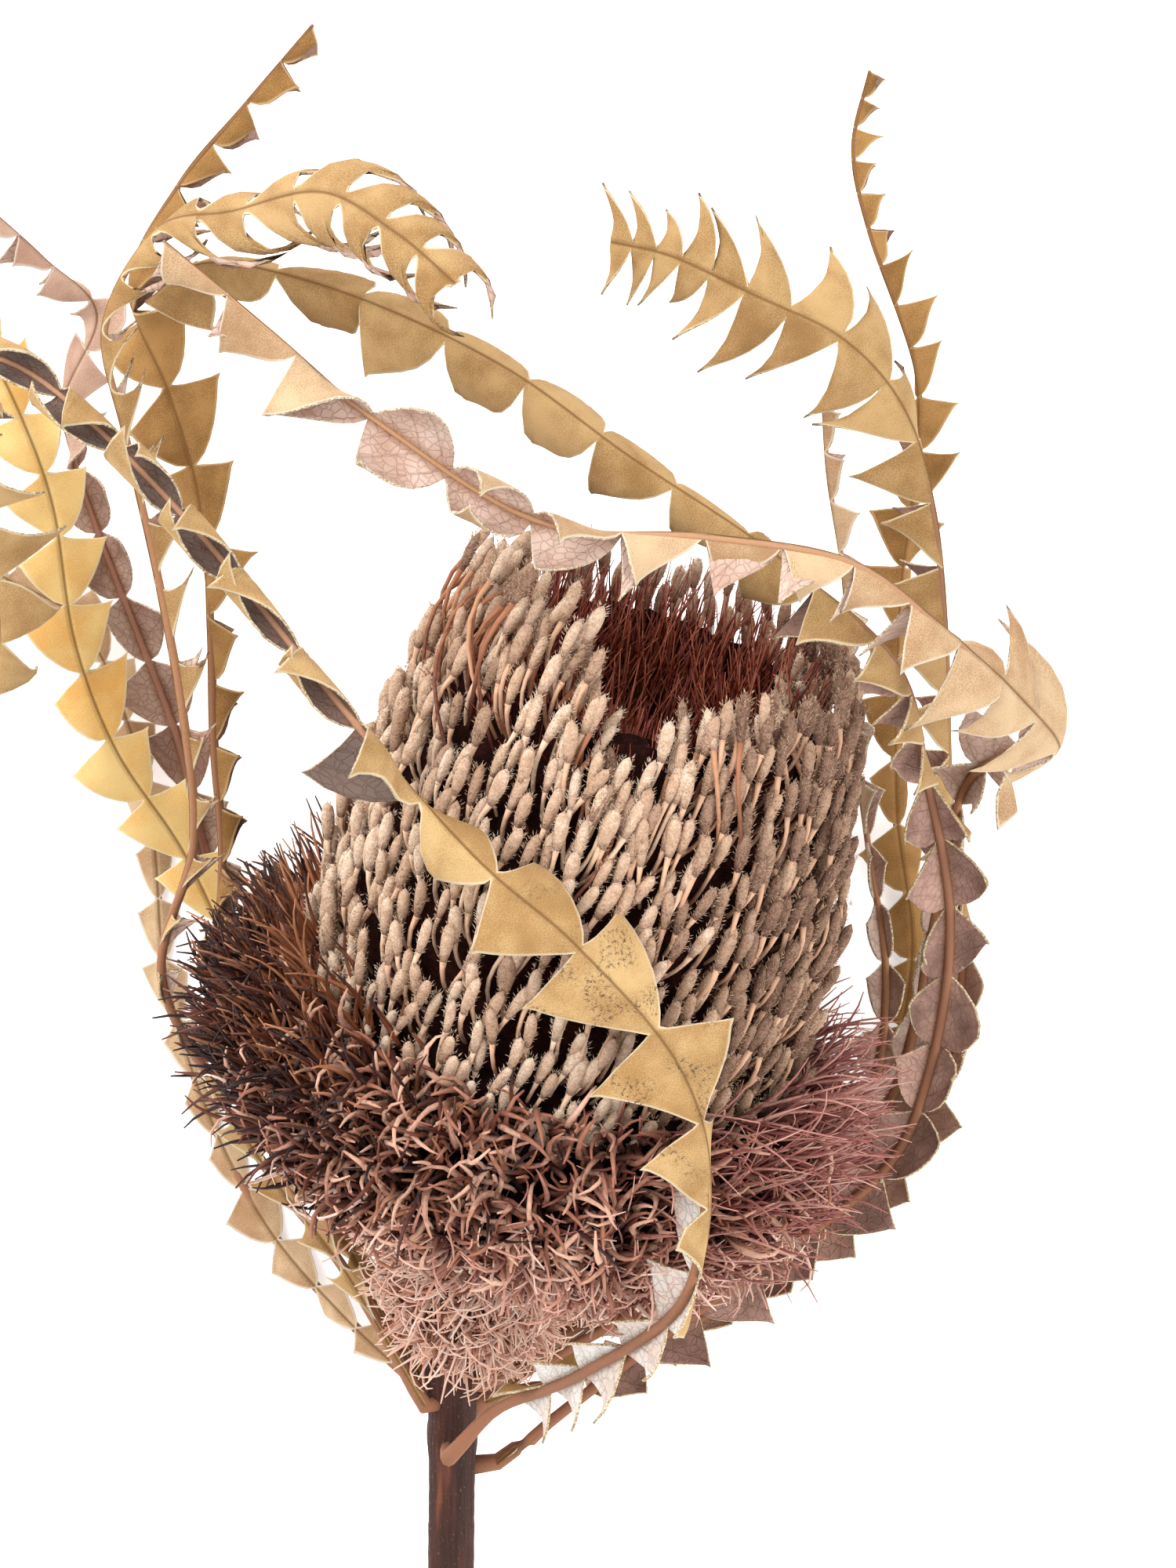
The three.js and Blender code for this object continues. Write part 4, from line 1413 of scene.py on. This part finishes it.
@dataclass
class Leaf:
    """One long saw-toothed leaf: a felted blade over a raised rib.

    Rows give its route as in Course. A low shoulder makes its lobes square towards the stem,
    and slim makes them narrow. Between the two shares in clawed, claw sweeps their points
    forward. The louvre tilts each lobe along the rib, hook holds its curl back to its point,
    and cup lifts its middle. Past dark_from, in mm from the stem, the underside is dark.
    """

    node: str
    skin: LeafSkin
    slot: str
    rows: Sequence[Row]
    seed: int
    mouldy: bool = False
    # Past dark_from the underside is painted with shadow colour.
    dark_from: float = 1000.0
    shoulder: float = 0.6
    slim: float = 1.0
    claw: float = 0.0
    clawed: tuple[float, float] = (-1.0, 2.0)
    louvre: float = 0.0
    hook: float = 1.15
    cup: float = 0.42
    petiole: float = 0.06
    sinus: float = 0.09
    thickness: float = 0.42
    variety: LobeVariety = LobeVariety()
    rib_shares: Sequence[float] = (0.0, 0.03, 0.1, 0.5, 1.0)
    rib_radii: Sequence[float] = (1.6, 1.15, 1.0, 0.75, 0.28)
    columns: Sequence[float] = (0.0, 0.07, 0.18, 0.32, 0.48, 0.64, 0.8, 0.92, 1.0)
    steps: Sequence[float] = (0.0, 0.07, 0.18, 0.32, 0.46, 0.58, 0.67, 0.72, 0.76, 0.83, 0.91, 0.96)

    def build(self, stem: Stem) -> None:
        """Builds the blade and its rib.

        Args:
            stem: the stem that the leaf grows from.
        """
        course = Course(self.rows).sample()
        total = float(course["length"][-1])
        self._blade(course, total)
        self._rib(course, total, stem)

    def _stations(self, course: dict[str, np.ndarray]) -> Stations:
        """Splits the leaf into lobes.

        Args:
            course: the sampled route.

        Returns:
            The blade's cross lines.
        """
        total = float(course["length"][-1])
        starts = [self.petiole * total]
        while starts[-1] < total:
            pitch = float(np.interp(starts[-1], course["length"], course["pitch"][:, 0]))
            starts.append(starts[-1] + pitch)
        edges = np.array(starts)
        edges = (edges[0] + (edges - edges[0]) * (total - edges[0]) / (edges[-1] - edges[0])) / total
        steps = np.array(self.steps)
        share = (edges[:-1, None] + steps[None, :] * np.diff(edges)[:, None]).ravel()
        lobes = len(edges) - 1
        number = np.repeat(np.arange(lobes), len(steps))
        through = np.tile(steps, lobes)
        share = np.concatenate([np.linspace(0.0, self.petiole, 6)[:-1], share, [1.0]])
        number = np.concatenate([np.full(5, -1), number, [lobes - 1]])
        through = np.concatenate([np.zeros(5), through, [1.0]])
        return Stations(share, number, through)

    @staticmethod
    def _at(course: dict[str, np.ndarray], key: str, where: np.ndarray) -> np.ndarray:
        """Reads one of the route's values at some distances along it.

        Args:
            course: the sampled route.
            key: the value's name.
            where: the distances, in mm.

        Returns:
            The values, one row for each distance.
        """
        values = course[key]
        columns = range(values.shape[1])
        return np.stack([np.interp(where, course["length"], values[:, k]) for k in columns], axis=-1)

    def _outline(self, through: np.ndarray, tip: float) -> np.ndarray:
        """Half width through a lobe, 0 at its ends and 1 at its tip."""
        rise = np.clip(through / tip, 0, 1) ** ((self.shoulder + 0.15 * self.claw) * self.slim)
        fall = np.clip((1 - through) / (1 - tip), 0, 1) ** (1.25 * self.slim)
        return np.where(through < tip, rise, fall)

    def _half_blade(
        self, course: dict[str, np.ndarray], stations: Stations, hand: int, rng: np.random.Generator
    ) -> tuple[np.ndarray, np.ndarray, np.ndarray, np.ndarray]:
        """Works out one half of the blade.

        Args:
            course: the sampled route.
            stations: the blade's cross lines.
            hand: 1 for one side, -1 for the other.
            rng: the source of each lobe's small differences.

        Returns:
            Places (station, column, 3), distances across, distances to the edge, and shades.
        """
        share, number, through = stations.share, stations.number, stations.through
        lobes = number.max() + 1
        vary = {
            "size": rng.normal(*self.variety.size, lobes + 1),
            "curl": rng.normal(*self.variety.curl, lobes + 1),
            "tilt": rng.normal(self.louvre, self.variety.tilt_spread, lobes + 1),
            "lead": rng.normal(*self.variety.lead, lobes + 1),
            "tone": rng.random(lobes + 1),
        }
        where = share * float(course["length"][-1])
        at = {key: self._at(course, key, where) for key in course if key != "length"}
        tip = self.steps[7]
        shape = self._outline(through, tip)
        width = at["width"][:, 0] * vary["size"][number]
        half = width * (self.sinus + (1 - self.sinus) * shape)
        half = np.where(number < 0, np.maximum(width * self.sinus, 0.4), half)
        fold = np.radians(at["fold"][:, 0])
        curl = np.radians(at["curl"][:, 0] + vary["curl"][number] * (number >= 0))
        columns = np.array(self.columns)
        distance = half[:, None] * columns[None, :]
        spine = (np.abs(through - tip) < 1e-6) & (number >= 0)
        distance[spine, -1] += 0.05 * width[spine]
        lateral = np.zeros_like(distance)
        down = np.zeros_like(distance)
        for k in range(1, len(columns)):
            middle = 0.5 * (distance[:, k] + distance[:, k - 1]) / np.maximum(width, 1e-6)
            angle = fold + curl * middle**self.hook
            step = distance[:, k] - distance[:, k - 1]
            lateral[:, k] = lateral[:, k - 1] + step * np.cos(angle)
            down[:, k] = down[:, k - 1] + step * np.sin(angle)
        reach = distance / np.maximum(width, 1e-6)[:, None]
        down = down + (vary["tilt"][number] * (through - 0.45) * width)[:, None] * reach * 1.2
        arch = np.where(number >= 0, (2.0 * through - 0.85) ** 2, 0.0) * self.cup * width
        down = down + arch[:, None] * np.minimum(reach / 0.5, 1.0) * reach
        down = down + 0.1 * np.sin(where * 1.1 + hand)[:, None] * reach**2
        lead = vary["lead"][number] * width * (through > 0) + 0.08 * width * hand * shape
        lead = lead[:, None] * reach
        first, last = self.clawed
        claw = self.claw * smooth((share - first) / 0.06) * smooth((last - share) / 0.06)
        lead = lead + (0.3 * claw * width * shape)[:, None] * reach**2
        places = (
            at["place"][:, None, :]
            + hand * lateral[:, :, None] * at["side"][:, None, :]
            - down[:, :, None] * at["facing"][:, None, :]
            + lead[:, :, None] * at["tangent"][:, None, :]
        )
        rim = np.where(number[:, None] < 0, 2.0, half[:, None] * (1 - columns[None, :]))
        tones = np.repeat(vary["tone"][number][:, None], len(columns), axis=1)
        return places, hand * distance, rim, tones

    def _blade(self, course: dict, total: float) -> None:
        """Builds the blade: one grid, shaped, then thickened."""
        rng = np.random.default_rng(self.seed)
        stations = self._stations(course)
        left = self._half_blade(course, stations, -1, rng)
        right = self._half_blade(course, stations, 1, rng)
        both = [np.concatenate([a[:, :0:-1], b], axis=1) for a, b in zip(left, right)]
        places, across, rim, tones = both
        rows, columns = places.shape[:2]
        bm = bmesh.new()
        bmesh.ops.create_grid(bm, x_segments=columns - 1, y_segments=rows - 1, size=1.0)
        order = [
            (int(round((v.co.y + 1) / 2 * (rows - 1))), int(round((v.co.x + 1) / 2 * (columns - 1))))
            for v in bm.verts
        ]
        for vert, (row, column) in zip(bm.verts, order):
            vert.co = Vector(places[row, column])
            vert.co.z = max(vert.co.z, SURFACE_CLEARANCE + self.thickness)
        mesh = bmesh_to_mesh(self.node + "_blade", bm)
        index = np.array(order)
        write_attribute(mesh, "across_mm", across[index[:, 0], index[:, 1]])
        write_attribute(mesh, "along_mm", (stations.share * total)[index[:, 0]])
        write_attribute(mesh, "edge_mm", rim[index[:, 0], index[:, 1]])
        write_attribute(mesh, "tone", tones[index[:, 0], index[:, 1]])
        light, deep, edge, under, under_deep, _ = self.skin.value
        materials = [
            FeltUpper(self.node + "_upper", light, deep, edge, self.mouldy).material(),
            FeltUnder(self.node + "_under", under, under_deep, self.dark_from).material(),
            WoollyFringe(self.node + "_fringe", edge).material(),
        ]
        piece = add_piece(mesh, materials, self.node)
        facing = np.array(mesh.polygons[len(mesh.polygons) // 2].normal)
        middle = np.array(mesh.polygons[len(mesh.polygons) // 2].center) / MM
        nearest = int(np.argmin(np.linalg.norm(course["place"] - middle, axis=1)))
        outer = float(np.dot(facing, course["facing"][nearest])) > 0
        solid = piece.modifiers.new("thickness", "SOLIDIFY")
        solid.thickness = self.thickness * MM
        solid.offset = -1.0 if outer else 1.0
        solid.material_offset = 1
        solid.material_offset_rim = 2
        solid.use_even_offset = False

    def _rib(self, course: dict, total: float, stem: Stem) -> None:
        """Builds the raised rib under the blade, which runs back to the stem as the leaf's stalk."""
        share = np.concatenate([np.linspace(0.0, 0.08, 8)[:-1], np.linspace(0.08, 0.985, 110)])
        where = share * total
        place, facing, side = (self._at(course, key, where) for key in ("place", "facing", "side"))
        radii = np.interp(share, self.rib_shares, self.rib_radii)
        route = place - facing * (0.6 * self.thickness + 0.9 * radii)[:, None]
        line = stem.centre(np.linspace(0.5, 1.0, 60))
        nearest = line[int(np.argmin(np.linalg.norm(line - route[0], axis=1)))]
        root = nearest + unit(route[0] - nearest) * (STEM_RADIUS - 1.2)
        route = np.vstack([root, route])
        radii = np.concatenate([[1.9], radii])
        route[:, 2] = np.maximum(route[:, 2], radii + SURFACE_CLEARANCE)
        hint = np.vstack([side[:1], side])
        bm = tube_bmesh(route, radii, 8, hint)
        layer = bm.verts.layers.float.get("along")
        along = np.array([v[layer] for v in bm.verts])
        mesh = bmesh_to_mesh(self.node + "_rib", bm)
        rng = np.random.default_rng(self.seed + 90)
        write_attribute(mesh, "along", along)
        write_attribute(mesh, "tone", np.full(len(along), 0.2) + rng.normal(0, 0.05, len(along)))
        colour = self.skin.value[5]
        finish = StalkFinish(self.node + "_rib_felt", "a06c50", colour, "e2bc98", 0.8, 1400.0)
        add_piece(mesh, [finish.material()])


def leaves() -> list[Leaf]:
    """The leaves, with the courses that their solids in the frame have."""
    return [
        Leaf("leaf_front", LeafSkin.FRONT, "olive_leaf", [
            (-6, -103, 31, 0, 0, -1, 5, 10, 6, 12),
            (3, -93, 40, 0, 0.2, -1, 10, 20, 8, 13),
            (18, -84, 67, 0, 0.3, -1, 10, 25, 10, 14),
            (36, -69, 94, 0.6, 0.2, -0.7, 20, 20, 10, 15),
            (40, -47, 109, 1, 0, 0.5, 30, 10, 10, 17),
            (34, -27, 115, 0.15, 0.1, 1, 5, 10, 13.5, 20),
            (17, -7, 123, 0.1, 0.1, 1, 4, 10, 13, 20),
            (0, 8, 126, 0.2, 0.2, 1, 14, 25, 11, 18),
            (-22, 33, 120, 0.2, 0.2, -1, 35, 105, 14, 17),
            (-50, 66, 112, 0, 0, -1, 35, 110, 14, 16),
            (-76, 90, 104, 0, 0, -1, 30, 105, 13, 15),
            (-90, 91, 92, -0.5, 0.3, -0.6, 20, 80, 11, 15),
            (-90, 70, 76, -0.7, 0, 0.7, 25, 60, 12, 14),
            (-86, 51, 63, -0.3, 0, 0.9, 20, 60, 12, 14),
            (-88, 36, 52, -0.3, 0, 0.9, 20, 60, 9, 12),
        ], seed=101, mouldy=True, dark_from=175.0, shoulder=0.85),
        Leaf("leaf_arc", LeafSkin.SHADED, "olive_leaf", [
            (2, -106, 22, 0, 0, 1, 0, 0, 3, 10),
            (15, -95, 25, 0, 0.3, -1, 10, 20, 6, 12),
            (43, -74, 27, 0, 0.3, -1, 15, 20, 9, 14),
            (72, -53, 29, 0.1, -0.2, -1, 15, 20, 10, 15),
            (81, -34, 36, 0, -0.2, -1, 15, 30, 10, 15),
            (84, -6, 54, 0, 0, -1, 10, 30, 11, 16),
            (79, 20, 75, 0.2, 0, -1, 30, 40, 9, 14),
            (72, 41, 103, 0.7, 0.7, -0.4, 50, 60, 9, 14),
            (51, 59, 108, 0.2, 0.4, 0.8, 35, 60, 12, 15),
            (26, 76, 105, 0.1, 0.3, 1, 30, 70, 14, 16),
            (4, 92, 99, 0, 0.3, 1, 30, 65, 15.5, 17),
            (-23, 105, 91, 0, 0.2, 1, 30, 65, 15.5, 17),
            (-47, 111, 83, 0, 0.3, 1, 35, 70, 13, 15),
            (-59, 105, 75, -0.5, 0.7, 0.3, 60, 30, 9, 12),
        ], seed=102),
        Leaf("leaf_crown", LeafSkin.TAN, "olive_leaf", [
            (0, -90, 33, 0, 0, 1, 0, 0, 3, 10),
            (26, -78, 26, 0, 0.3, -1, 10, 20, 5, 12),
            (56, -62, 21, 0, 0, -1, 10, 20, 7, 14),
            (75, -38, 26, 0, 0, -1, 22, 25, 9, 15),
            (81, -6, 44, -0.3, 0, -1, 40, 30, 9, 14),
            (86, 18, 58, 0.2, 0, -1, 35, 30, 8, 12),
            (92, 25, 72, 0, 0.2, -1, 10, 20, 14, 12),
            (101, 26, 86, 0.6, -0.6, -0.5, 10, 20, 14, 12),
            (93, 35, 100, 0.4, 0.3, 1, 0, 40, 14, 12),
            (79, 47, 112, 0.7, 0.7, 0.2, 40, 50, 10, 12),
            (63, 58, 118, 0.5, 0.8, -0.1, 60, 50, 9, 13),
            (39, 62, 122, 0.1, 1, 0.2, 70, 40, 9, 14),
            (11, 64, 124, 0.2, 0.3, -1, 25, 75, 13, 16),
            (-14, 79, 128, 0.3, 0.2, -1, 20, 75, 13, 16),
            (-33, 95, 131, 0.3, 0.5, 0.8, 60, 40, 10, 15),
            (-51, 110, 134, 0.5, 0.6, 0.5, 60, 60, 8, 12),
        ], seed=103, claw=0.9, clawed=(0.42, 0.62)),
        Leaf("leaf_fern", LeafSkin.SHADED, "olive_leaf", [
            (0, -94, 27, 0, 0, 1, 0, 0, 3, 10),
            (32, -84, 14, 0, 0.2, -1, 10, 20, 5, 12),
            (68, -60, 9, 0, 0, -1, 10, 20, 8, 14),
            (85, -34, 12, 0, 0, -1, 35, 30, 9, 14),
            (89, -9, 19, 0.2, 0, -1, 40, 30, 9, 14),
            (86, 20, 32, 1, 0, -0.3, 40, 20, 8, 13),
            (84, 48, 50, 1, 0, 0.3, 50, 20, 8, 13),
            (81, 70, 60, 0.9, 0.1, 0.5, 50, 20, 9, 12),
            (75, 87, 66, 0.4, 0.3, 1, 20, 40, 13, 12),
            (64, 99, 68, 0.1, 0.1, 1, 5, 30, 14, 10.5),
            (48, 107, 66, 0, 0, 1, 0, 20, 14, 7.5),
            (34, 114, 62, 0, 0, 1, 0, 10, 11.5, 5),
            (23, 117, 58, 0, 0, 1, 0, 5, 9, 4),
        ], seed=104, claw=0.9, clawed=(0.74, 2.0)),
        Leaf("leaf_spire", LeafSkin.BROWN, "olive_leaf", [
            (-3, -97, 20, 0, 0, 1, 0, 0, 3, 10),
            (11, -88, 8.6, 0, 0, 1, 0, 0, 5, 12),
            (42, -68, 1.6, 0, 0, 1, 5, 0, 6, 12),
            (71, -44, 2.6, 0, 0, 1, 8, 5, 7, 13),
            (80, -14, 3.6, 0, 0, 1, 15, 10, 7, 13),
            (77, 16, 7.6, 0.2, 0, 1, 18, 18, 7, 13),
            (77, 52, 18, 0.5, 0, 1, 30, 20, 7, 12),
            (79, 75, 26, 0, 0, 1, 0, 10, 7, 11),
            (79, 95, 32, -0.7, 0, 0.7, 40, 10, 6, 9),
            (70, 121, 36, -1, 0, 0.3, 60, 20, 5, 7),
            (67, 136, 38, -1, 0, 0.3, 60, 20, 4.5, 6),
            (70, 150, 40, -0.9, 0, 0.5, 60, 20, 3.5, 5),
        ], seed=105),
        Leaf("leaf_edge", LeafSkin.TAN, "olive_leaf", [
            (0, -92, 22, 0, 0, 1, 0, 0, 3, 10),
            (19, -79, 20, 0, 0.2, -1, 10, 20, 4, 12),
            (53, -62, 16, 0, 0, -1, 10, 20, 6, 12),
            (70, -42, 18, 0, 0, -1, 20, 20, 6, 12),
            (74, -18, 26, 0, 0, -1, 30, 20, 6, 12),
            (70, 9, 33, -0.4, 0, -1, 55, 20, 5, 12),
            (66, 34, 40, -1, 0, -0.3, 50, 20, 5, 11),
            (65, 56, 46, -1, 0, 0, 40, 20, 4, 10),
            (62, 75, 50, -1, 0, 0, 40, 20, 4, 9),
            (61, 88, 52, -1, 0, 0, 40, 20, 3, 8),
        ], seed=106),
        Leaf("leaf_outer", LeafSkin.TAN, "olive_leaf", [
            (-10, -94, 21, 0, 0, 1, 0, 0, 2, 10),
            (-27, -80, 7.3, 0, 0, 1, 5, 5, 4, 12),
            (-42, -63, 2.3, 0, 0, 1, 10, 5, 6, 12),
            (-54, -39, 2.3, 0, 0, 1, 13, 5, 4, 12),
            (-61, -14, 2.3, 0, 0, 1, 14, 5, 5, 12),
            (-63, 10, 3.3, 0, 0, 1, 15, 10, 5, 12),
            (-67, 30, 7, 0, 0, 1, 15, 10, 6, 12),
            (-76, 50, 10, 0, 0.2, 1, 10, 10, 9, 13),
            (-89, 58, 14, 0, 0.3, 1, 10, 20, 10, 13),
            (-100, 64, 18, 0, 0.3, 1, 10, 20, 10, 13),
        ], seed=107),
        Leaf("leaf_golden", LeafSkin.GOLDEN, "golden_leaf", [
            (-12, -89, 27, 0, 0, 1, 0, 0, 2, 10),
            (-23, -69, 16, 0, 0, 1, 0, 0, 4, 12),
            (-36, -46, 9, 0, 0, 1, 0, 0, 5, 12),
            (-46, -16, 14, 0, 0, 1, 0, 0, 6, 13),
            (-56, 7, 19, 0, 0, 1, 0, 5, 8, 14),
            (-68, 26, 26, 0, 0, 1, 0, 5, 8.5, 14),
            (-75, 46, 34, 0, 0, 1, 0, 5, 8.5, 14),
            (-78, 70, 44, 0, 0, 1, 0, 5, 8.5, 13),
            (-83, 86, 52, 0, 0, 1, 5, 10, 8, 12),
            (-90, 101, 58, 0, 0, 1, 10, 20, 7, 11),
            (-97, 114, 62, 0, 0, 1, 10, 20, 7, 11),
        ], seed=108),
        Leaf("leaf_tall", LeafSkin.BROWN, "olive_leaf", [
            (-13, -91, 31, 0, 0, 1, 0, 0, 2, 10),
            (-24, -68, 24, 0, 0, 1, 0, 0, 4, 12),
            (-39, -45, 13, 0, 0, 1, 0, 0, 5, 12),
            (-49, -16, 20, -0.3, 0, -1, 15, 0, 5, 12),
            (-49, 9, 32, -1, 0, -0.3, 50, 10, 5, 12),
            (-50, 28, 40, -1, 0, 0, 60, 20, 5, 12),
            (-50, 48, 47, -1, 0, 0.4, 50, 20, 6, 13),
            (-51, 71, 52, -0.2, 0, 1, 0, 10, 10, 15),
            (-56, 90, 58, 0, 0, 1, 0, 10, 11, 15),
            (-63, 109, 62, -0.6, 0.6, -0.3, 30, 40, 9, 13),
            (-54, 127, 64, -0.7, 0.6, 0.2, 60, 20, 6.5, 10),
            (-42, 141, 66, -0.7, 0.6, 0.3, 60, 20, 6, 9.5),
            (-30, 155, 66, -0.7, 0.6, 0.3, 60, 20, 4, 8),
        ], seed=109),
        Leaf("leaf_curled", LeafSkin.OLIVE, "olive_leaf", [
            (-11, -94, 34, 0, 0, 1, 0, 0, 2, 10),
            (-26, -69, 31, 0, 0, 1, 0, 0, 4, 12),
            (-42, -49, 24, 0, 0, 1, 0, 0, 5, 12),
            (-59, -17, 39, -0.7, 0, -1, 45, 10, 5, 12),
            (-53, 9, 51, -1, 0, -0.3, 60, 20, 5, 12),
            (-54, 31, 60, -1, 0, 0, 70, 20, 6, 13),
            (-58, 56, 66, -1, 0, 0.3, 60, 20, 6, 13),
            (-63, 81, 74, -0.8, 0.2, 0.5, 40, 30, 7, 12),
            (-66, 100, 82, -0.8, 0.4, 0.3, 30, 60, 8, 11),
            (-56, 116, 91, -0.5, 0.7, 0.5, 5, 170, 13, 11),
            (-42, 118, 102, -0.6, 0.4, 0.7, 0, 190, 15, 11),
            (-26, 120, 114, -0.6, 0.3, 0.8, 0, 190, 16, 11),
            (-13, 112, 125, -0.4, 0.5, 0.7, 0, 190, 16, 10),
            (-3, 103, 132, -0.3, 0.5, 0.7, 0, 180, 13, 9),
        ], seed=110, claw=1.7, hook=1.7, slim=1.9, louvre=0.1),
        Leaf("leaf_pale", LeafSkin.PALE, "pale_leaf", [
            (-11, -91, 23, 0, 0, 1, 0, 0, 2, 10),
            (-23, -69, 11, 0, 0, 1, 0, 0, 4, 12),
            (-36, -46, 7, 0, 0, -1, 0, 0, 5, 12),
            (-46, -16, 9, 0, 0, -1, 0, 0, 6, 12),
            (-53, 9, 11, 0, 0, -1, 5, 10, 7, 13),
            (-58, 29, 13, -0.2, 0.2, -1, 10, 10, 8, 13),
            (-65, 48, 16, -0.2, 0.2, -1, 10, 20, 8, 13),
            (-73, 70, 20, 0, 0.2, -1, 20, 20, 8, 13),
            (-78, 89, 27, -0.5, 0.5, 0.8, 20, 20, 7, 12),
            (-71, 106, 34, 0, 0.5, 0.8, 20, 20, 7, 10),
            (-80, 116, 40, 0.2, 0.8, 0.4, 50, 20, 6, 9),
            (-90, 125, 46, 0.2, 0.8, 0.4, 50, 20, 5, 8),
        ], seed=111),
    ]


# ---------------------------------------------------------------------------------------
# Studio
# ---------------------------------------------------------------------------------------


@dataclass
class Studio:
    """A plain pale floor, soft light from all round, and the camera above."""

    view_height: float = 1000.0
    view_base: float = 60.0
    frame_height: float = 280.0
    sensor: float = 36.0
    aim: tuple[float, float] = (19.0, 20.0)
    floor_glow: float = 0.4
    floor_reach: float = 3000.0

    def build(self) -> None:
        """Sets the floor, the lights and the camera."""
        self._floor()
        self._world()
        self._light("key_light", (-0.75, 0.75, 1.1), 1.4, 30.0)
        self._light("fill_light", (0.9, -0.5, 0.9), 1.2, 12.0)
        self._camera()

    def _floor(self) -> None:
        """A wide pale floor at height 0."""
        bm = bmesh.new()
        bmesh.ops.create_grid(bm, x_segments=1, y_segments=1, size=self.floor_reach)
        mesh = bmesh_to_mesh("floor", bm, flat=True)
        paint = Paint("pale_floor")
        grain = paint.noise(paint.place(), 40.0)
        colour = paint.mix(grain, (0.95, 0.95, 0.94, 1.0), (0.97, 0.97, 0.965, 1.0))
        glow = {"Emission Color": (1.0, 1.0, 1.0, 1.0), "Emission Strength": self.floor_glow}
        mesh.materials.append(paint.finish({"Base Color": colour}, {"Roughness": 0.9, **glow}))
        floor = bpy.data.objects.new("floor", mesh)
        bpy.context.scene.collection.objects.link(floor)

    def _world(self) -> None:
        """Even white light from the sky."""
        world = bpy.data.worlds.new("studio")
        world.use_nodes = True
        background = world.node_tree.nodes["Background"]
        background.inputs["Color"].default_value = (1.0, 0.985, 0.97, 1.0)
        background.inputs["Strength"].default_value = 1.0
        bpy.context.scene.world = world
        bpy.context.scene.view_settings.view_transform = "Standard"

    def _light(self, name: str, place: tuple[float, float, float], size: float, power: float) -> None:
        """One large square light that faces the object."""
        data = bpy.data.lights.new(name, "AREA")
        data.size = size
        data.energy = power
        lamp = bpy.data.objects.new(name, data)
        lamp.location = place
        towards = Vector((0.0, 0.0, self.view_base * MM)) - Vector(place)
        lamp.rotation_euler = towards.to_track_quat("-Z", "Y").to_euler()
        bpy.context.scene.collection.objects.link(lamp)

    def _camera(self) -> None:
        """The camera, straight above, with the object's length up the picture."""
        data = bpy.data.cameras.new("camera")
        data.sensor_fit = "VERTICAL"
        data.sensor_height = self.sensor
        data.lens = self.sensor * self.view_height / self.frame_height
        camera = bpy.data.objects.new("camera", data)
        camera.location = (self.aim[0] * MM, self.aim[1] * MM, (self.view_base + self.view_height) * MM)
        bpy.context.scene.collection.objects.link(camera)
        bpy.context.scene.camera = camera


# What lies behind the strands, as heights along the head's axis and radii.
BARREL_CORE = (
    (58, 0), (58, 36), (76, 39), (90, 39.5), (104, 38.5), (118, 36.5), (130, 34), (137, 32),
    (138, 30), (130, 25), (120, 18), (113, 10), (111, 0),
)
CROWN_CORE = ((108, 0), (108, 10), (116, 15), (118, 13), (114, 0))
COLLAR_CORE = (
    (3, 0), (3, 5), (14, 9), (25, 14), (32, 21), (38, 34), (46, 43), (56, 47), (66, 45),
    (74, 40), (74, 0),
)


def main() -> None:
    """Builds the object piece by piece, then its studio."""
    logging.basicConfig(level=logging.INFO)
    head = HeadAxis()
    stem = Stem()
    stem.build(head)
    ground = MattedGround("barrel_ground", "4a2019", "1c0a08")
    HeadCore("barrel_core", BARREL_CORE, "floret_barrel", "woolly_florets", ground).build(head)
    FloretBarrel().build(head)
    ground = MattedGround("crown_ground", "3d1512", "180605")
    HeadCore("crown_core", CROWN_CORE, "crown_styles", "dark_styles", ground, 0.3).build(head)
    CrownStyles().build(head)
    ground = MattedGround("collar_ground", "3c1c17", "150706")
    collar = SpentFlorets()
    HeadCore(
        "collar_core", COLLAR_CORE, "spent_florets", "spent_strands", ground,
        roughness=0.8, spread=collar.spread, seed=3,
    ).build(head)
    collar.build(head)
    for leaf in leaves():
        leaf.build(stem)
    Studio().build()


if __name__ == "__main__":
    main()
